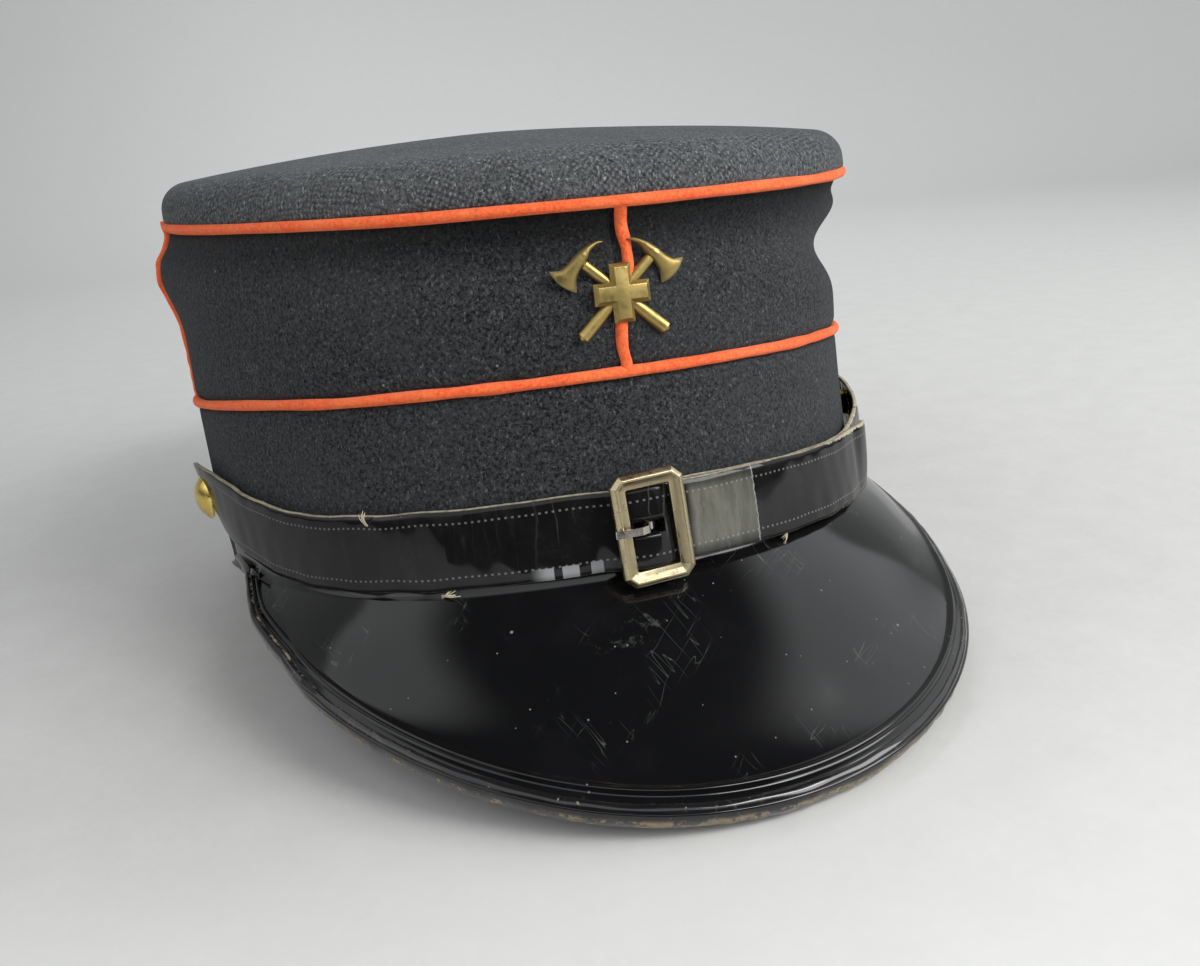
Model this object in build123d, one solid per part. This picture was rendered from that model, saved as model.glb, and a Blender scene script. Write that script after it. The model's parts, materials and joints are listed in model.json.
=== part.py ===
from build123d import *
import os
from math import atan, atan2, cos, degrees, pi, radians, sin, tan

# A stiff-sided uniform cap (kepi) of dark cloth with corded seams, a patent-leather peak, a leather
# chin strap with a brass buckle and side buttons, and a brass badge of two crossed axes and a cross.
# All sizes are in millimetres. The cap is drawn standing upright on the lower edge of its band, with
# its front towards -Y. At the very end every piece is tipped into the pose in which the cap rests on
# a table: on the rim of the peak and on the back of the band.
#
# Most pieces follow the head oval. A place on them is given by an angle round the cap from the
# front, positive towards +X, by how far it stands out from the band cloth, and by its height.

# ---- Head oval, measured on the outside of the cloth
HALF_LENGTH = 104.5
HALF_WIDTH = 87.0
ROUNDNESS = 0.9             # radius of the front and back arcs, as a part of HALF_WIDTH

# ---- Heights above the lower edge of the band
BAND_HEIGHT = 43.4          # middle of the lower piping
CROWN_FRONT = 75.6          # middle of the top piping, at the front
CROWN_BACK = 101.4          # middle of the top piping, at the back
CROWN_EDGE = 11.0           # how far the top cloth turns down over the sides
CROWN_DOME = 6.0
CROWN_SHOULDER = 7.0

# ---- Thickness of the wall's layers, from the outside
CLOTH = 1.5
BOARD = 1.0
LINING = 0.4
LAYER_GAP = 0.1

# ---- Piping
PIPING_WIDTH = 2.2
PIPING_PROUD = 1.0
SEAM_GAP = 0.06
SIDE_SEAM_ANGLE = 92.0

# ---- Sweatband
SWEATBAND_HEIGHT = 38.0
SWEATBAND_LEATHER = 1.1
SWEATBAND_INSET = 4.4       # from the outside of the cloth, at the bottom
SWEATBAND_LEAN = 3.1        # how much further in its free edge stands
SWEATBAND_LIP = 0.45

# ---- Peak
PEAK_HALF_ANGLE = 79.0
PEAK_RUN = 38.9             # how far it stands out at the front, level
PEAK_EAR = 4.0              # the same at its two ends
PEAK_SWEEP = 1.1            # how quickly it narrows towards the ends
PEAK_SLOPE = 0.84           # fall over run at the front
PEAK_EAR_SLOPE = 0.63
PEAK_ROOT = 0.2             # height of its upper face where it meets the cloth
PEAK_FLANGE = 8.0           # height of its sewing edge up the outside of the band
PEAK_SEAT = 0.2             # air between that edge and the band
PEAK_LEATHER = 1.0
PEAK_CORE = 1.2
PEAK_UNDERSIDE = 0.6
BINDING_WIDTH = 6.4
BINDING_EAR_WIDTH = 2.5       # the same at the two ends of the peak
BINDING_LEATHER = 0.8
PEAK_SECTIONS = 33

# ---- Chin strap
STRAP_WIDTH = 16.2
STRAP_LEATHER = 1.0
STRAP_LOW = 5.0             # height of its lower edge, across the front
STRAP_CLEAR = 0.3           # air between the strap and what lies under it
STRAP_RISE_ANGLE = 55.0     # where it begins to rise towards the buttons
STRAP_END_ANGLE = 87.0
STRAP_POINT = 3.5           # length of the pointed end, as an angle
TONGUE_END_ANGLE = 57.0
FOLD_LENGTH = 12.0          # how far the folded end reaches back from the buckle bar
FOLD_DROP = 5.5             # where it has come down from the bar on to the strap
HUMP_NEAR = 1.6             # how far each side of the bar the tongue stays at its height
HUMP_FAR = 6.0              # where it has come down on the folded end
TONGUE_CLIMB = 13.0         # where it begins to climb, on the other side of the bar
TONGUE_DROP = (2.0, 10.0)   # where it comes down beyond the folded end
PARE_START = 2.0            # where the strap under the bar begins to thicken again
FOLD_LEATHER = 0.7          # the leather is pared down where it folds
TACK_ANGLES = (-72.0, -41.0, 24.0, 36.0)
TACK_RADIUS = 0.4

# ---- Buckle
BUCKLE_WIDTH = 15.0
BUCKLE_HEIGHT = 22.6
BUCKLE_RIM = 3.0
BUCKLE_THICKNESS = 1.9
BUCKLE_CORNER = 2.0
BUCKLE_BEVEL = 0.7
BUCKLE_LIFT = 0.5           # air between the frame and the tongue under it
BUCKLE_LEAN = 2.6           # degrees that the bent frame leans towards -X at its top
BAR_RADIUS = 0.6
BAR_CLEAR = 0.08
PRONG_THICKNESS = 0.7
PRONG_WIDTH = 1.5
PRONG_SLOT_LENGTH = 5.1
PRONG_SLOT_CLEAR = 0.35     # round the prong where it comes up through the leather

# ---- Side buttons
BUTTON_ANGLE = 80.0
BUTTON_HEIGHT = 19.9
BUTTON_RADIUS = 6.2
BUTTON_DOME = 3.2
BUTTON_SHELL = 0.5
BUTTON_BACK = 0.5
POST_RADIUS = 1.25
POST_CLEAR = 0.07
WASHER_RADIUS = 4.0
WASHER_THICKNESS = 0.4
PIN_RADIUS = 0.45
PIN_LENGTH = 11.0
EYE_RADIUS = 1.1            # middle of the eye at the pin's end
EYE_WIRE = 0.52

# ---- Badge
BADGE_HEIGHT = 58.6         # height of its middle on the cap
AXE_THICKNESS = 1.2
AXE_LEAN = 48.0             # degrees that each axe leans from upright
HANDLE_WIDTH = 2.4
HANDLE_LENGTH = 11.9        # from the middle of the badge to the foot of the handle
HEAD_DISTANCE = 10.3        # from the middle of the badge to the middle of the axe head
EYE_LENGTH = 2.5            # of the head, along the handle
BLADE_REACH = 5.9           # from the handle's middle to the cutting edge
BLADE_LENGTH = 6.6          # of the cutting edge
BLADE_BOW = 0.8
PICK_REACH = 5.8
PICK_DROOP = 1.8            # of its point, towards the handle's foot
CROSS_SPAN = 11.3
CROSS_ARM = 4.0
CROSS_THICKNESS = 1.1
CROSS_BEVEL = 0.6
LAP_CLEAR = 0.02
BADGE_POST_RADIUS = 0.8
BADGE_HOLE_CLEAR = 0.2
NUT_RADIUS = 3.0
NUT_THICKNESS = 1.6
BADGE_POST_SPARE = 0.8      # how far a post sticks out of its nut

TALL = 400.0                # longer than anything on the cap, for cutting tools


# ---- The head oval: four arcs that run smoothly into each other
END_RADIUS = ROUNDNESS * HALF_WIDTH
END_CENTRE = HALF_LENGTH - END_RADIUS
SIDE_RADIUS = (END_CENTRE**2 + HALF_WIDTH**2 - END_RADIUS**2) / (2 * (HALF_WIDTH - END_RADIUS))
SIDE_CENTRE = SIDE_RADIUS - HALF_WIDTH
END_SPREAD = degrees(atan2(SIDE_CENTRE, END_CENTRE))


def oval(proud, height=0.0):
    """The head oval as a level face, standing out from the cloth by proud."""
    side_spread = 90 - END_SPREAD
    end_radius = END_RADIUS + proud
    side_radius = SIDE_RADIUS + proud
    arcs = [
        CenterArc((0, -END_CENTRE), end_radius, 270 - END_SPREAD, 2 * END_SPREAD),
        CenterArc((-SIDE_CENTRE, 0), side_radius, -side_spread, 2 * side_spread),
        CenterArc((0, END_CENTRE), end_radius, 90 - END_SPREAD, 2 * END_SPREAD),
        CenterArc((SIDE_CENTRE, 0), side_radius, 180 - side_spread, 2 * side_spread),
    ]
    return Pos(0, 0, height) * make_face(arcs)


def on_oval(angle, proud):
    """X and Y of the point at this angle round the cap, standing out from the cloth by proud."""
    side = 1 if angle >= 0 else -1
    turn = radians(abs(angle))
    if abs(angle) <= END_SPREAD:
        centre_x, centre_y, radius = 0.0, -END_CENTRE, END_RADIUS
    elif abs(angle) <= 180 - END_SPREAD:
        centre_x, centre_y, radius = -SIDE_CENTRE, 0.0, SIDE_RADIUS
    else:
        centre_x, centre_y, radius = 0.0, END_CENTRE, END_RADIUS
    return side * (centre_x + (radius + proud) * sin(turn)), centre_y - (radius + proud) * cos(turn)


def on_wall(angle, proud, height):
    """A frame on the wall: its Z points out of the cap and its Y points up."""
    x, y = on_oval(angle, proud)
    outward = (sin(radians(angle)), -cos(radians(angle)), 0)
    along = (cos(radians(angle)), sin(radians(angle)), 0)
    return Plane(origin=(x, y, height), x_dir=along, z_dir=outward)


def ring(outer, inner, low, high):
    """An upright wall that follows the oval, between two distances from the cloth."""
    return Pos(0, 0, low) * extrude(oval(outer) - oval(inner), high - low)


def strip(angles, corners_at):
    """A strip round the cap whose section at each angle has the corners (proud, height)."""
    sections = []
    for angle in angles:
        corners = [(*on_oval(angle, proud), height) for proud, height in corners_at(angle)]
        sections.append(Face(Wire.make_polygon(corners)))
    return loft(sections)


def spread(first, last, count):
    return [first + (last - first) * step / (count - 1) for step in range(count)]


# ---- Levels: the lower piping is level, the top piping rises towards the back
TOP_TILT = atan2(CROWN_BACK - CROWN_FRONT, 2 * HALF_LENGTH)
TOP_MIDDLE = (CROWN_FRONT + CROWN_BACK) / 2
TOP_NORMAL = Vector(0, -sin(TOP_TILT), cos(TOP_TILT))
HALF_SEAM = PIPING_WIDTH / 2 + SEAM_GAP


def low_level(rise):
    return Plane(origin=(0, 0, BAND_HEIGHT + rise))


def top_level(rise):
    return Plane(origin=Vector(0, 0, TOP_MIDDLE) + TOP_NORMAL * rise, z_dir=TOP_NORMAL)


def above(shape, level):
    return split(shape, bisect_by=level, keep=Keep.TOP)


def below(shape, level):
    return split(shape, bisect_by=level, keep=Keep.BOTTOM)


parts = {}

# ---- Crown top: cloth with a rounded shoulder, over a domed board and its lining
DOME_RADIUS = (HALF_WIDTH**2 + CROWN_DOME**2) / (2 * CROWN_DOME)


def dome(depth):
    """The ball whose surface is the crown's dome, sunk by depth."""
    centre = Vector(0, 0, TOP_MIDDLE) + TOP_NORMAL * (CROWN_EDGE + CROWN_DOME - DOME_RADIUS)
    return Pos(*centre) * Sphere(DOME_RADIUS - depth)


def crown_block(depth, lowest):
    """Everything under the crown's outer face, sunk by depth, with its shoulder rounded."""
    column = Pos(0, 0, CROWN_FRONT / 2) * extrude(oval(-depth), TALL / 2)
    block = above(column, top_level(lowest)) & dome(depth)
    rim = [edge for edge in block.edges() if height_over_top(edge.center()) > CROWN_EDGE * 0.6 - depth]
    return fillet(rim, CROWN_SHOULDER - depth)


def height_over_top(point):
    return (point - Vector(0, 0, TOP_MIDDLE)).dot(TOP_NORMAL)


def dome_sheet(depth, thickness, edge_inset):
    """A domed disc under the crown cloth."""
    column = Pos(0, 0, CROWN_FRONT / 2) * extrude(oval(-edge_inset), TALL / 2)
    return (column & dome(depth)) - dome(depth + thickness)


crown_inside = CLOTH + LAYER_GAP
crown_disc_inset = CROWN_SHOULDER + CLOTH
parts["crown_top_cloth"] = crown_block(0, HALF_SEAM) - crown_block(CLOTH, HALF_SEAM - PIPING_WIDTH)
parts["crown_top_board"] = dome_sheet(crown_inside, BOARD, crown_disc_inset)
parts["crown_top_lining"] = dome_sheet(crown_inside + BOARD + LAYER_GAP, LINING, crown_disc_inset)

# ---- Cloth sides: the band below the lower piping, four panels above it
side_column = ring(0, -CLOTH, 0, TALL / 2)
parts["band_cloth"] = below(side_column, low_level(-HALF_SEAM))

SEAM_ANGLES = {
    "front": 0.0,
    "right": SIDE_SEAM_ANGLE,
    "rear": 180.0,
    "left": -SIDE_SEAM_ANGLE,
}
upper_sides = below(above(side_column, low_level(HALF_SEAM)), top_level(-HALF_SEAM))
for angle in SEAM_ANGLES.values():
    upper_sides -= on_wall(angle, 0, TALL / 4) * Box(2 * HALF_SEAM, TALL, 6 * CLOTH)
for panel in upper_sides.solids():
    end = "front" if panel.center().Y < 0 else "rear"
    hand = "left" if panel.center().X < 0 else "right"
    parts[f"side_panel_{end}_{hand}"] = panel


# ---- Piping: two rings and four upright cords in the seams between the panels
def piping_ring(level):
    cord = ring(PIPING_PROUD, -CLOTH, 0, TALL / 2)
    cord = below(above(cord, level(-PIPING_WIDTH / 2)), level(PIPING_WIDTH / 2))
    outer = [edge for edge in cord.edges() if edge.length > PIPING_WIDTH * 2 and is_outside(edge @ 0.5)]
    return fillet(outer, PIPING_WIDTH * 0.4)


def is_outside(point):
    """True for a point nearer the piping's outer face than its inner face."""
    end_y = abs(point.Y) - END_CENTRE
    side_x = abs(point.X) + SIDE_CENTRE
    end_reach = (point.X**2 + end_y**2) ** 0.5 - END_RADIUS
    side_reach = (side_x**2 + point.Y**2) ** 0.5 - SIDE_RADIUS
    on_end = degrees(atan2(abs(point.X), max(end_y, 1e-6))) <= END_SPREAD and end_y > 0
    return (end_reach if on_end else side_reach) > 0


parts["top_piping"] = piping_ring(top_level)
parts["lower_piping"] = piping_ring(low_level)
for name, angle in SEAM_ANGLES.items():
    x, y = on_oval(angle, PIPING_PROUD - PIPING_WIDTH / 2)
    cord = Pos(x, y, TALL / 4) * Cylinder(PIPING_WIDTH / 2, TALL / 2)
    parts[f"seam_piping_{name}"] = below(above(cord, low_level(HALF_SEAM)), top_level(-HALF_SEAM))

# ---- Inside the wall: the stiff board, the lining and the sweatband
board_face = -(CLOTH + LAYER_GAP)
lining_face = board_face - BOARD - LAYER_GAP
wall_inside = lining_face - LINING
board_low = SWEATBAND_LIP + 2 * LAYER_GAP
board = ring(board_face, board_face - BOARD, board_low, TALL / 2)
lining = ring(lining_face, wall_inside, board_low, TALL / 2)
board_top = CROWN_EDGE - CROWN_DOME - CROWN_SHOULDER / 2
parts["side_board"] = below(board, top_level(board_top))
parts["side_lining"] = below(lining, top_level(board_top + CLOTH))


def leaning(inset, low, high):
    """A solid oval plug that narrows by SWEATBAND_LEAN over the sweatband's height."""
    upper = -inset - SWEATBAND_LEAN
    return loft([oval(-inset, low), oval(upper, high)], ruled=True)


sweat_low = LAYER_GAP / 2
sweatband = leaning(SWEATBAND_INSET, sweat_low, SWEATBAND_HEIGHT)
sweatband -= leaning(SWEATBAND_INSET + SWEATBAND_LEATHER, sweat_low, SWEATBAND_HEIGHT)
lip_inside = -(SWEATBAND_INSET + SWEATBAND_LEATHER / 2)
sweatband += ring(board_face, lip_inside, sweat_low, sweat_low + SWEATBAND_LIP)
parts["sweatband"] = sweatband

# ---- Peak: patent leather over a stiff core and an underside, with a bound rim
PEAK_THICKNESS = PEAK_LEATHER + PEAK_CORE + PEAK_UNDERSIDE + 2 * LAYER_GAP


class PeakSection:
    """The peak's straight upper face at one angle, in the upright plane that faces outwards."""

    def __init__(self, angle):
        narrowing = max(cos(pi / 2 * angle / PEAK_HALF_ANGLE), 0.0)
        self.run = PEAK_EAR + (PEAK_RUN - PEAK_EAR) * narrowing**PEAK_SWEEP
        self.bound = BINDING_EAR_WIDTH + (BINDING_WIDTH - BINDING_EAR_WIDTH) * (1 - (1 - narrowing) ** 3)
        self.slope = PEAK_EAR_SLOPE + (PEAK_SLOPE - PEAK_EAR_SLOPE) * narrowing
        self.tip = atan(self.slope)
        self.length = self.run / cos(self.tip)

    def at(self, from_rim, depth):
        """The point this far in from the rim along the slope, and this deep under the face."""
        level = self.length - from_rim
        proud = level * cos(self.tip) - depth * sin(self.tip)
        height = PEAK_ROOT - level * sin(self.tip) - depth * cos(self.tip)
        return proud, height

    def over(self, proud, depth):
        """The point standing out by proud, this deep under the face."""
        return proud, PEAK_ROOT - proud * self.slope - depth / cos(self.tip)


def peak_leather_section(angle):
    peak = PeakSection(angle)
    back, face = PEAK_SEAT, PEAK_SEAT + PEAK_LEATHER
    return [
        (back, PEAK_FLANGE),
        (face, PEAK_FLANGE),
        peak.over(face, 0),
        peak.at(0, 0),
        peak.at(0, PEAK_LEATHER),
        peak.over(back, PEAK_LEATHER),
    ]


def peak_layer_section(angle, depth, thickness):
    peak = PeakSection(angle)
    return [
        peak.over(PEAK_SEAT, depth),
        peak.at(0, depth),
        peak.at(0, depth + thickness),
        peak.over(PEAK_SEAT, depth + thickness),
    ]


def binding_section(angle):
    peak = PeakSection(angle)
    reach = peak.bound
    inner = LAYER_GAP
    outer = LAYER_GAP + BINDING_LEATHER
    return [
        peak.at(reach, -outer),
        peak.at(-outer, -outer),
        peak.at(-outer, PEAK_THICKNESS + outer),
        peak.at(reach, PEAK_THICKNESS + outer),
        peak.at(reach, PEAK_THICKNESS + inner),
        peak.at(-inner, PEAK_THICKNESS + inner),
        peak.at(-inner, -inner),
        peak.at(reach, -inner),
    ]


core_depth = PEAK_LEATHER + LAYER_GAP
underside_depth = core_depth + PEAK_CORE + LAYER_GAP
peak_angles = spread(-PEAK_HALF_ANGLE, PEAK_HALF_ANGLE, PEAK_SECTIONS)
parts["peak_leather"] = strip(peak_angles, peak_leather_section)
parts["peak_core"] = strip(peak_angles, lambda angle: peak_layer_section(angle, core_depth, PEAK_CORE))
parts["peak_underside"] = strip(
    peak_angles, lambda angle: peak_layer_section(angle, underside_depth, PEAK_UNDERSIDE)
)
parts["peak_binding"] = strip(peak_angles, binding_section)

# ---- Chin strap: two leathers that meet at the buckle and are held at their ends by the buttons
STRAP_BACK = PEAK_SEAT + PEAK_LEATHER + STRAP_CLEAR      # the strap's inner face stands out by this
LOOP_RADIUS = BAR_RADIUS + BAR_CLEAR + FOLD_LEATHER
BAR_PROUD = STRAP_BACK + LOOP_RADIUS
FRONT_RADIUS = END_RADIUS + BAR_PROUD
UPPER_BACK = STRAP_BACK + STRAP_LEATHER + LAYER_GAP       # the folded end rests here
TONGUE_BACK = UPPER_BACK + FOLD_LEATHER + LAYER_GAP       # the tongue's face where it is highest
STRAP_MIDDLE = STRAP_LOW + STRAP_WIDTH / 2


def ease(value, start, end):
    """0 before start, 1 after end, and a smooth climb between them."""
    share = min(max((value - start) / (end - start), 0.0), 1.0)
    return share * share * (3 - 2 * share)


def arc_angle(length):
    """The angle round the front arc that a length along the strap takes up."""
    return degrees(length / FRONT_RADIUS)


def strap_height(angle):
    """Height of the strap's middle, which rises towards the buttons."""
    climb = BUTTON_HEIGHT - STRAP_MIDDLE
    return STRAP_MIDDLE + climb * ease(abs(angle), STRAP_RISE_ANGLE, BUTTON_ANGLE)


def strap_half_width(angle):
    """Half the strap's width, drawn in to a blunt point at its end."""
    point = ease(abs(angle), STRAP_END_ANGLE - STRAP_POINT, STRAP_END_ANGLE)
    return STRAP_WIDTH / 2 * (1 - 0.6 * point)


def strap_section(angle, back, thickness):
    middle = strap_height(angle)
    half = strap_half_width(angle)
    return [
        (back, middle - half),
        (back + thickness, middle - half),
        (back + thickness, middle + half),
        (back, middle + half),
    ]


HUMP = BAR_PROUD + LOOP_RADIUS + LAYER_GAP                # the tongue's inner face over the bar
hump_start = arc_angle(HUMP_NEAR)
hump_end = arc_angle(HUMP_FAR)


def tongue_back(angle):
    """The tongue lies on the wall, climbs over the bar and runs on over the other strap."""
    if angle < 0:
        return STRAP_BACK + (HUMP - STRAP_BACK) * (1 - ease(-angle, hump_start, arc_angle(TONGUE_CLIMB)))
    after_bar = TONGUE_BACK + (HUMP - TONGUE_BACK) * (1 - ease(angle, hump_start, hump_end))
    drop = TONGUE_BACK - UPPER_BACK - STRAP_CLEAR
    drop_start, drop_end = (arc_angle(FOLD_LENGTH + length) for length in TONGUE_DROP)
    return after_bar - drop * ease(angle, drop_start, drop_end)


close_from = -arc_angle(TONGUE_CLIMB)                      # the tongue bends between these two
close_to = arc_angle(FOLD_LENGTH + TONGUE_DROP[1])
long_angles = (
    spread(-STRAP_END_ANGLE, -STRAP_END_ANGLE + STRAP_POINT, 3)[:-1]
    + spread(-STRAP_END_ANGLE + STRAP_POINT, close_from, 14)[:-1]
    + spread(close_from, close_to, 27)[:-1]
    + spread(close_to, TONGUE_END_ANGLE, 7)
)
long_strap = strip(long_angles, lambda angle: strap_section(angle, tongue_back(angle), STRAP_LEATHER))


def short_thickness(angle):
    """Full leather, pared down where it passes under the bar."""
    full = ease(angle, arc_angle(PARE_START), hump_end)
    return FOLD_LEATHER + (STRAP_LEATHER - FOLD_LEATHER) * full


short_angles = (
    spread(0.0, close_to / 2, 9)[:-1]
    + spread(close_to / 2, STRAP_END_ANGLE - STRAP_POINT, 16)[:-1]
    + spread(STRAP_END_ANGLE - STRAP_POINT, STRAP_END_ANGLE, 3)
)
short_strap = strip(short_angles, lambda angle: strap_section(angle, STRAP_BACK, short_thickness(angle)))


def fold_back(angle):
    """The folded end comes off the top of the bar and lies down on the strap."""
    top = BAR_PROUD + LOOP_RADIUS - FOLD_LEATHER
    return UPPER_BACK + (top - UPPER_BACK) * (1 - ease(angle, 0.0, arc_angle(FOLD_DROP)))


folded_end = strip(
    spread(0.0, arc_angle(FOLD_LENGTH), 13),
    lambda angle: strap_section(angle, fold_back(angle), FOLD_LEATHER),
)
bar_frame = on_wall(0, BAR_PROUD, STRAP_MIDDLE)           # X along the strap, Y up, Z outwards
bar_axis = bar_frame * Rot(90, 0, 0)
fold_turn = Cylinder(LOOP_RADIUS, STRAP_WIDTH) - Cylinder(LOOP_RADIUS - FOLD_LEATHER, STRAP_WIDTH)
fold_turn &= Pos(-LOOP_RADIUS, 0, 0) * Box(2 * LOOP_RADIUS, 4 * LOOP_RADIUS, STRAP_WIDTH)
short_strap = short_strap + folded_end + bar_axis * fold_turn

# The prong comes up through a slot in the fold and a slot in the tongue.
prong_slot = Box(PRONG_SLOT_LENGTH, PRONG_WIDTH + 2 * PRONG_SLOT_CLEAR, 6 * LOOP_RADIUS)
long_strap -= bar_frame * Pos(-PRONG_WIDTH * 0.35, 0, 2 * LOOP_RADIUS) * prong_slot
short_strap -= bar_frame * Pos(-PRONG_WIDTH * 0.35, 0, LOOP_RADIUS) * prong_slot
parts["chin_strap_long"] = long_strap
parts["chin_strap_short"] = short_strap

tacks = []
for angle in TACK_ANGLES:
    seat = on_wall(angle, TACK_RADIUS, strap_height(angle) + STRAP_WIDTH / 2 + TACK_RADIUS * 1.5)
    tacks.append(seat * Pos(0, 0, STRAP_BACK / 2) * Cylinder(TACK_RADIUS, STRAP_BACK))
parts["strap_tack_threads"] = Compound(children=tacks)

# ---- Buckle: a bevelled frame with a bar across its back, and a prong that turns on the bar
tongue_top_at_rim = max(tongue_back(arc_angle(x)) for x in (BUCKLE_WIDTH / 2, BUCKLE_WIDTH / 2 - BUCKLE_RIM))
FRAME_BACK = tongue_top_at_rim + STRAP_LEATHER + BUCKLE_LIFT - BAR_PROUD    # above the bar
FRAME_FRONT = FRAME_BACK + BUCKLE_THICKNESS


def buckle_outline():
    x, y, cut = BUCKLE_WIDTH / 2, BUCKLE_HEIGHT / 2, BUCKLE_CORNER
    corners = [
        (x - cut, y), (x, y - cut), (x, cut - y), (x - cut, -y),
        (cut - x, -y), (-x, cut - y), (-x, y - cut), (cut - x, y),
    ]
    return make_face(Polyline(*corners, close=True))


opening = Rectangle(BUCKLE_WIDTH - 2 * BUCKLE_RIM, BUCKLE_HEIGHT - 2 * BUCKLE_RIM)
frame_solid = extrude(buckle_outline() - opening, BUCKLE_THICKNESS)
frame_solid = chamfer(frame_solid.faces().sort_by(Axis.Z)[-1].edges(), BUCKLE_BEVEL)
lug_thickness = BUCKLE_HEIGHT / 2 - BUCKLE_BEVEL - STRAP_WIDTH / 2 - 2 * STRAP_CLEAR
lug_middle = STRAP_WIDTH / 2 + 2 * STRAP_CLEAR + lug_thickness / 2
lug_reach = FRAME_BACK + 2 * BAR_RADIUS + BUCKLE_THICKNESS / 4
lug = Box(4 * BAR_RADIUS, lug_thickness, lug_reach)
frame_solid = Pos(0, 0, FRAME_BACK) * Rot(0, 0, BUCKLE_LEAN) * frame_solid
for end in (-1, 1):
    frame_solid += Pos(0, end * lug_middle, FRAME_BACK + BUCKLE_THICKNESS / 4 - lug_reach / 2) * lug
bar_length = 2 * lug_middle + lug_thickness
frame_solid -= Rot(90, 0, 0) * Cylinder(BAR_RADIUS + LAP_CLEAR, bar_length + PIPING_WIDTH)
parts["buckle_frame"] = bar_frame * frame_solid
parts["buckle_bar"] = bar_axis * Cylinder(BAR_RADIUS, bar_length)

PRONG_EYE = BAR_RADIUS + BAR_CLEAR + PRONG_THICKNESS
prong_rest = FRAME_FRONT + LAYER_GAP                       # the prong lies on the frame here
prong_bend = prong_rest + PRONG_THICKNESS / 2
prong_tip_x = -(BUCKLE_WIDTH / 2 + PRONG_THICKNESS / 2)
prong_line = Polyline(
    (-BAR_RADIUS, PRONG_EYE - PRONG_THICKNESS / 2),
    (-BAR_RADIUS - PRONG_THICKNESS, prong_bend * 0.8),
    (-BAR_RADIUS - 3 * PRONG_THICKNESS, prong_bend),
    (prong_tip_x + BUCKLE_RIM / 2, prong_bend),
    (prong_tip_x, prong_bend - PRONG_THICKNESS * 0.1),
)
prong_profile = make_face(offset(prong_line, PRONG_THICKNESS / 2).edges())
prong_profile += Circle(PRONG_EYE)
prong_profile -= Circle(BAR_RADIUS + BAR_CLEAR)
prong_solid = Pos(0, 0, -PRONG_WIDTH / 2) * extrude(prong_profile, PRONG_WIDTH)
parts["buckle_prong"] = bar_frame * Rot(90, 0, 0) * prong_solid

# ---- Side buttons: a domed shell closed by a back, on a post that a split pin holds inside the cap
button_seat = STRAP_BACK + STRAP_LEATHER + LAYER_GAP
washer_seat = wall_inside - LAYER_GAP
pin_seat = washer_seat - WASHER_THICKNESS - PIN_RADIUS - LAYER_GAP / 2
post_inner_end = pin_seat - 1.6 * PIN_RADIUS
dome_radius = (BUTTON_RADIUS**2 + BUTTON_DOME**2) / (2 * BUTTON_DOME)


def cap_of_ball(radius, base_radius, height):
    """The part of a ball that stands above a plane, with this base and height."""
    ball = Pos(0, 0, height - radius) * Sphere(radius)
    return ball & Pos(0, 0, height / 2) * Box(3 * base_radius, 3 * base_radius, height)


def make_button(angle):
    """The button's five pieces, with X along the strap, Y up and Z out of the cap."""
    back_top = button_seat + BUTTON_BACK
    shell = cap_of_ball(dome_radius, BUTTON_RADIUS, BUTTON_DOME)
    shell -= cap_of_ball(dome_radius - BUTTON_SHELL, BUTTON_RADIUS, BUTTON_DOME - BUTTON_SHELL)
    back = Pos(0, 0, button_seat + BUTTON_BACK / 2) * Cylinder(BUTTON_RADIUS - BUTTON_SHELL, BUTTON_BACK)
    post_length = button_seat - post_inner_end
    post = Pos(0, 0, button_seat - post_length / 2) * Cylinder(POST_RADIUS, post_length)
    across = Pos(0, 0, pin_seat) * Rot(0, 90, 0)
    post -= across * Cylinder(PIN_RADIUS + LAP_CLEAR, 4 * POST_RADIUS)
    washer = Cylinder(WASHER_RADIUS, WASHER_THICKNESS) - Cylinder(POST_RADIUS + POST_CLEAR, WASHER_THICKNESS)
    washer = Pos(0, 0, washer_seat - WASHER_THICKNESS / 2) * washer
    pin = across * Cylinder(PIN_RADIUS, PIN_LENGTH)
    eye = Pos(PIN_LENGTH / 2 + EYE_RADIUS, 0, pin_seat) * Torus(EYE_RADIUS, EYE_WIRE)
    wall_frame = on_wall(angle, 0, BUTTON_HEIGHT)
    return {
        "shell": wall_frame * Pos(0, 0, back_top) * shell,
        "back": wall_frame * back,
        "post": wall_frame * post,
        "washer": wall_frame * washer,
        "split_pin": wall_frame * (pin + eye),
    }


for hand, angle in (("left", -BUTTON_ANGLE), ("right", BUTTON_ANGLE)):
    for name, solid in make_button(angle).items():
        parts[f"button_{hand}_{name}"] = solid
    hole_frame = on_wall(angle, 0, BUTTON_HEIGHT)
    tight_hole = hole_frame * Cylinder(POST_RADIUS + POST_CLEAR, 8 * STRAP_WIDTH / 5)
    for name in ("band_cloth", "side_board", "side_lining"):
        parts[name] -= tight_hole
    strap_name = "chin_strap_long" if hand == "left" else "chin_strap_short"
    parts[strap_name] -= tight_hole

# ---- Badge: two axes halved together at their handles, and a cross over the joint
badge_plane = on_wall(0, PIPING_PROUD + LAYER_GAP, BADGE_HEIGHT)
EYE_X = -HEAD_DISTANCE * sin(radians(AXE_LEAN))
EYE_Y = HEAD_DISTANCE * cos(radians(AXE_LEAN))


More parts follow.
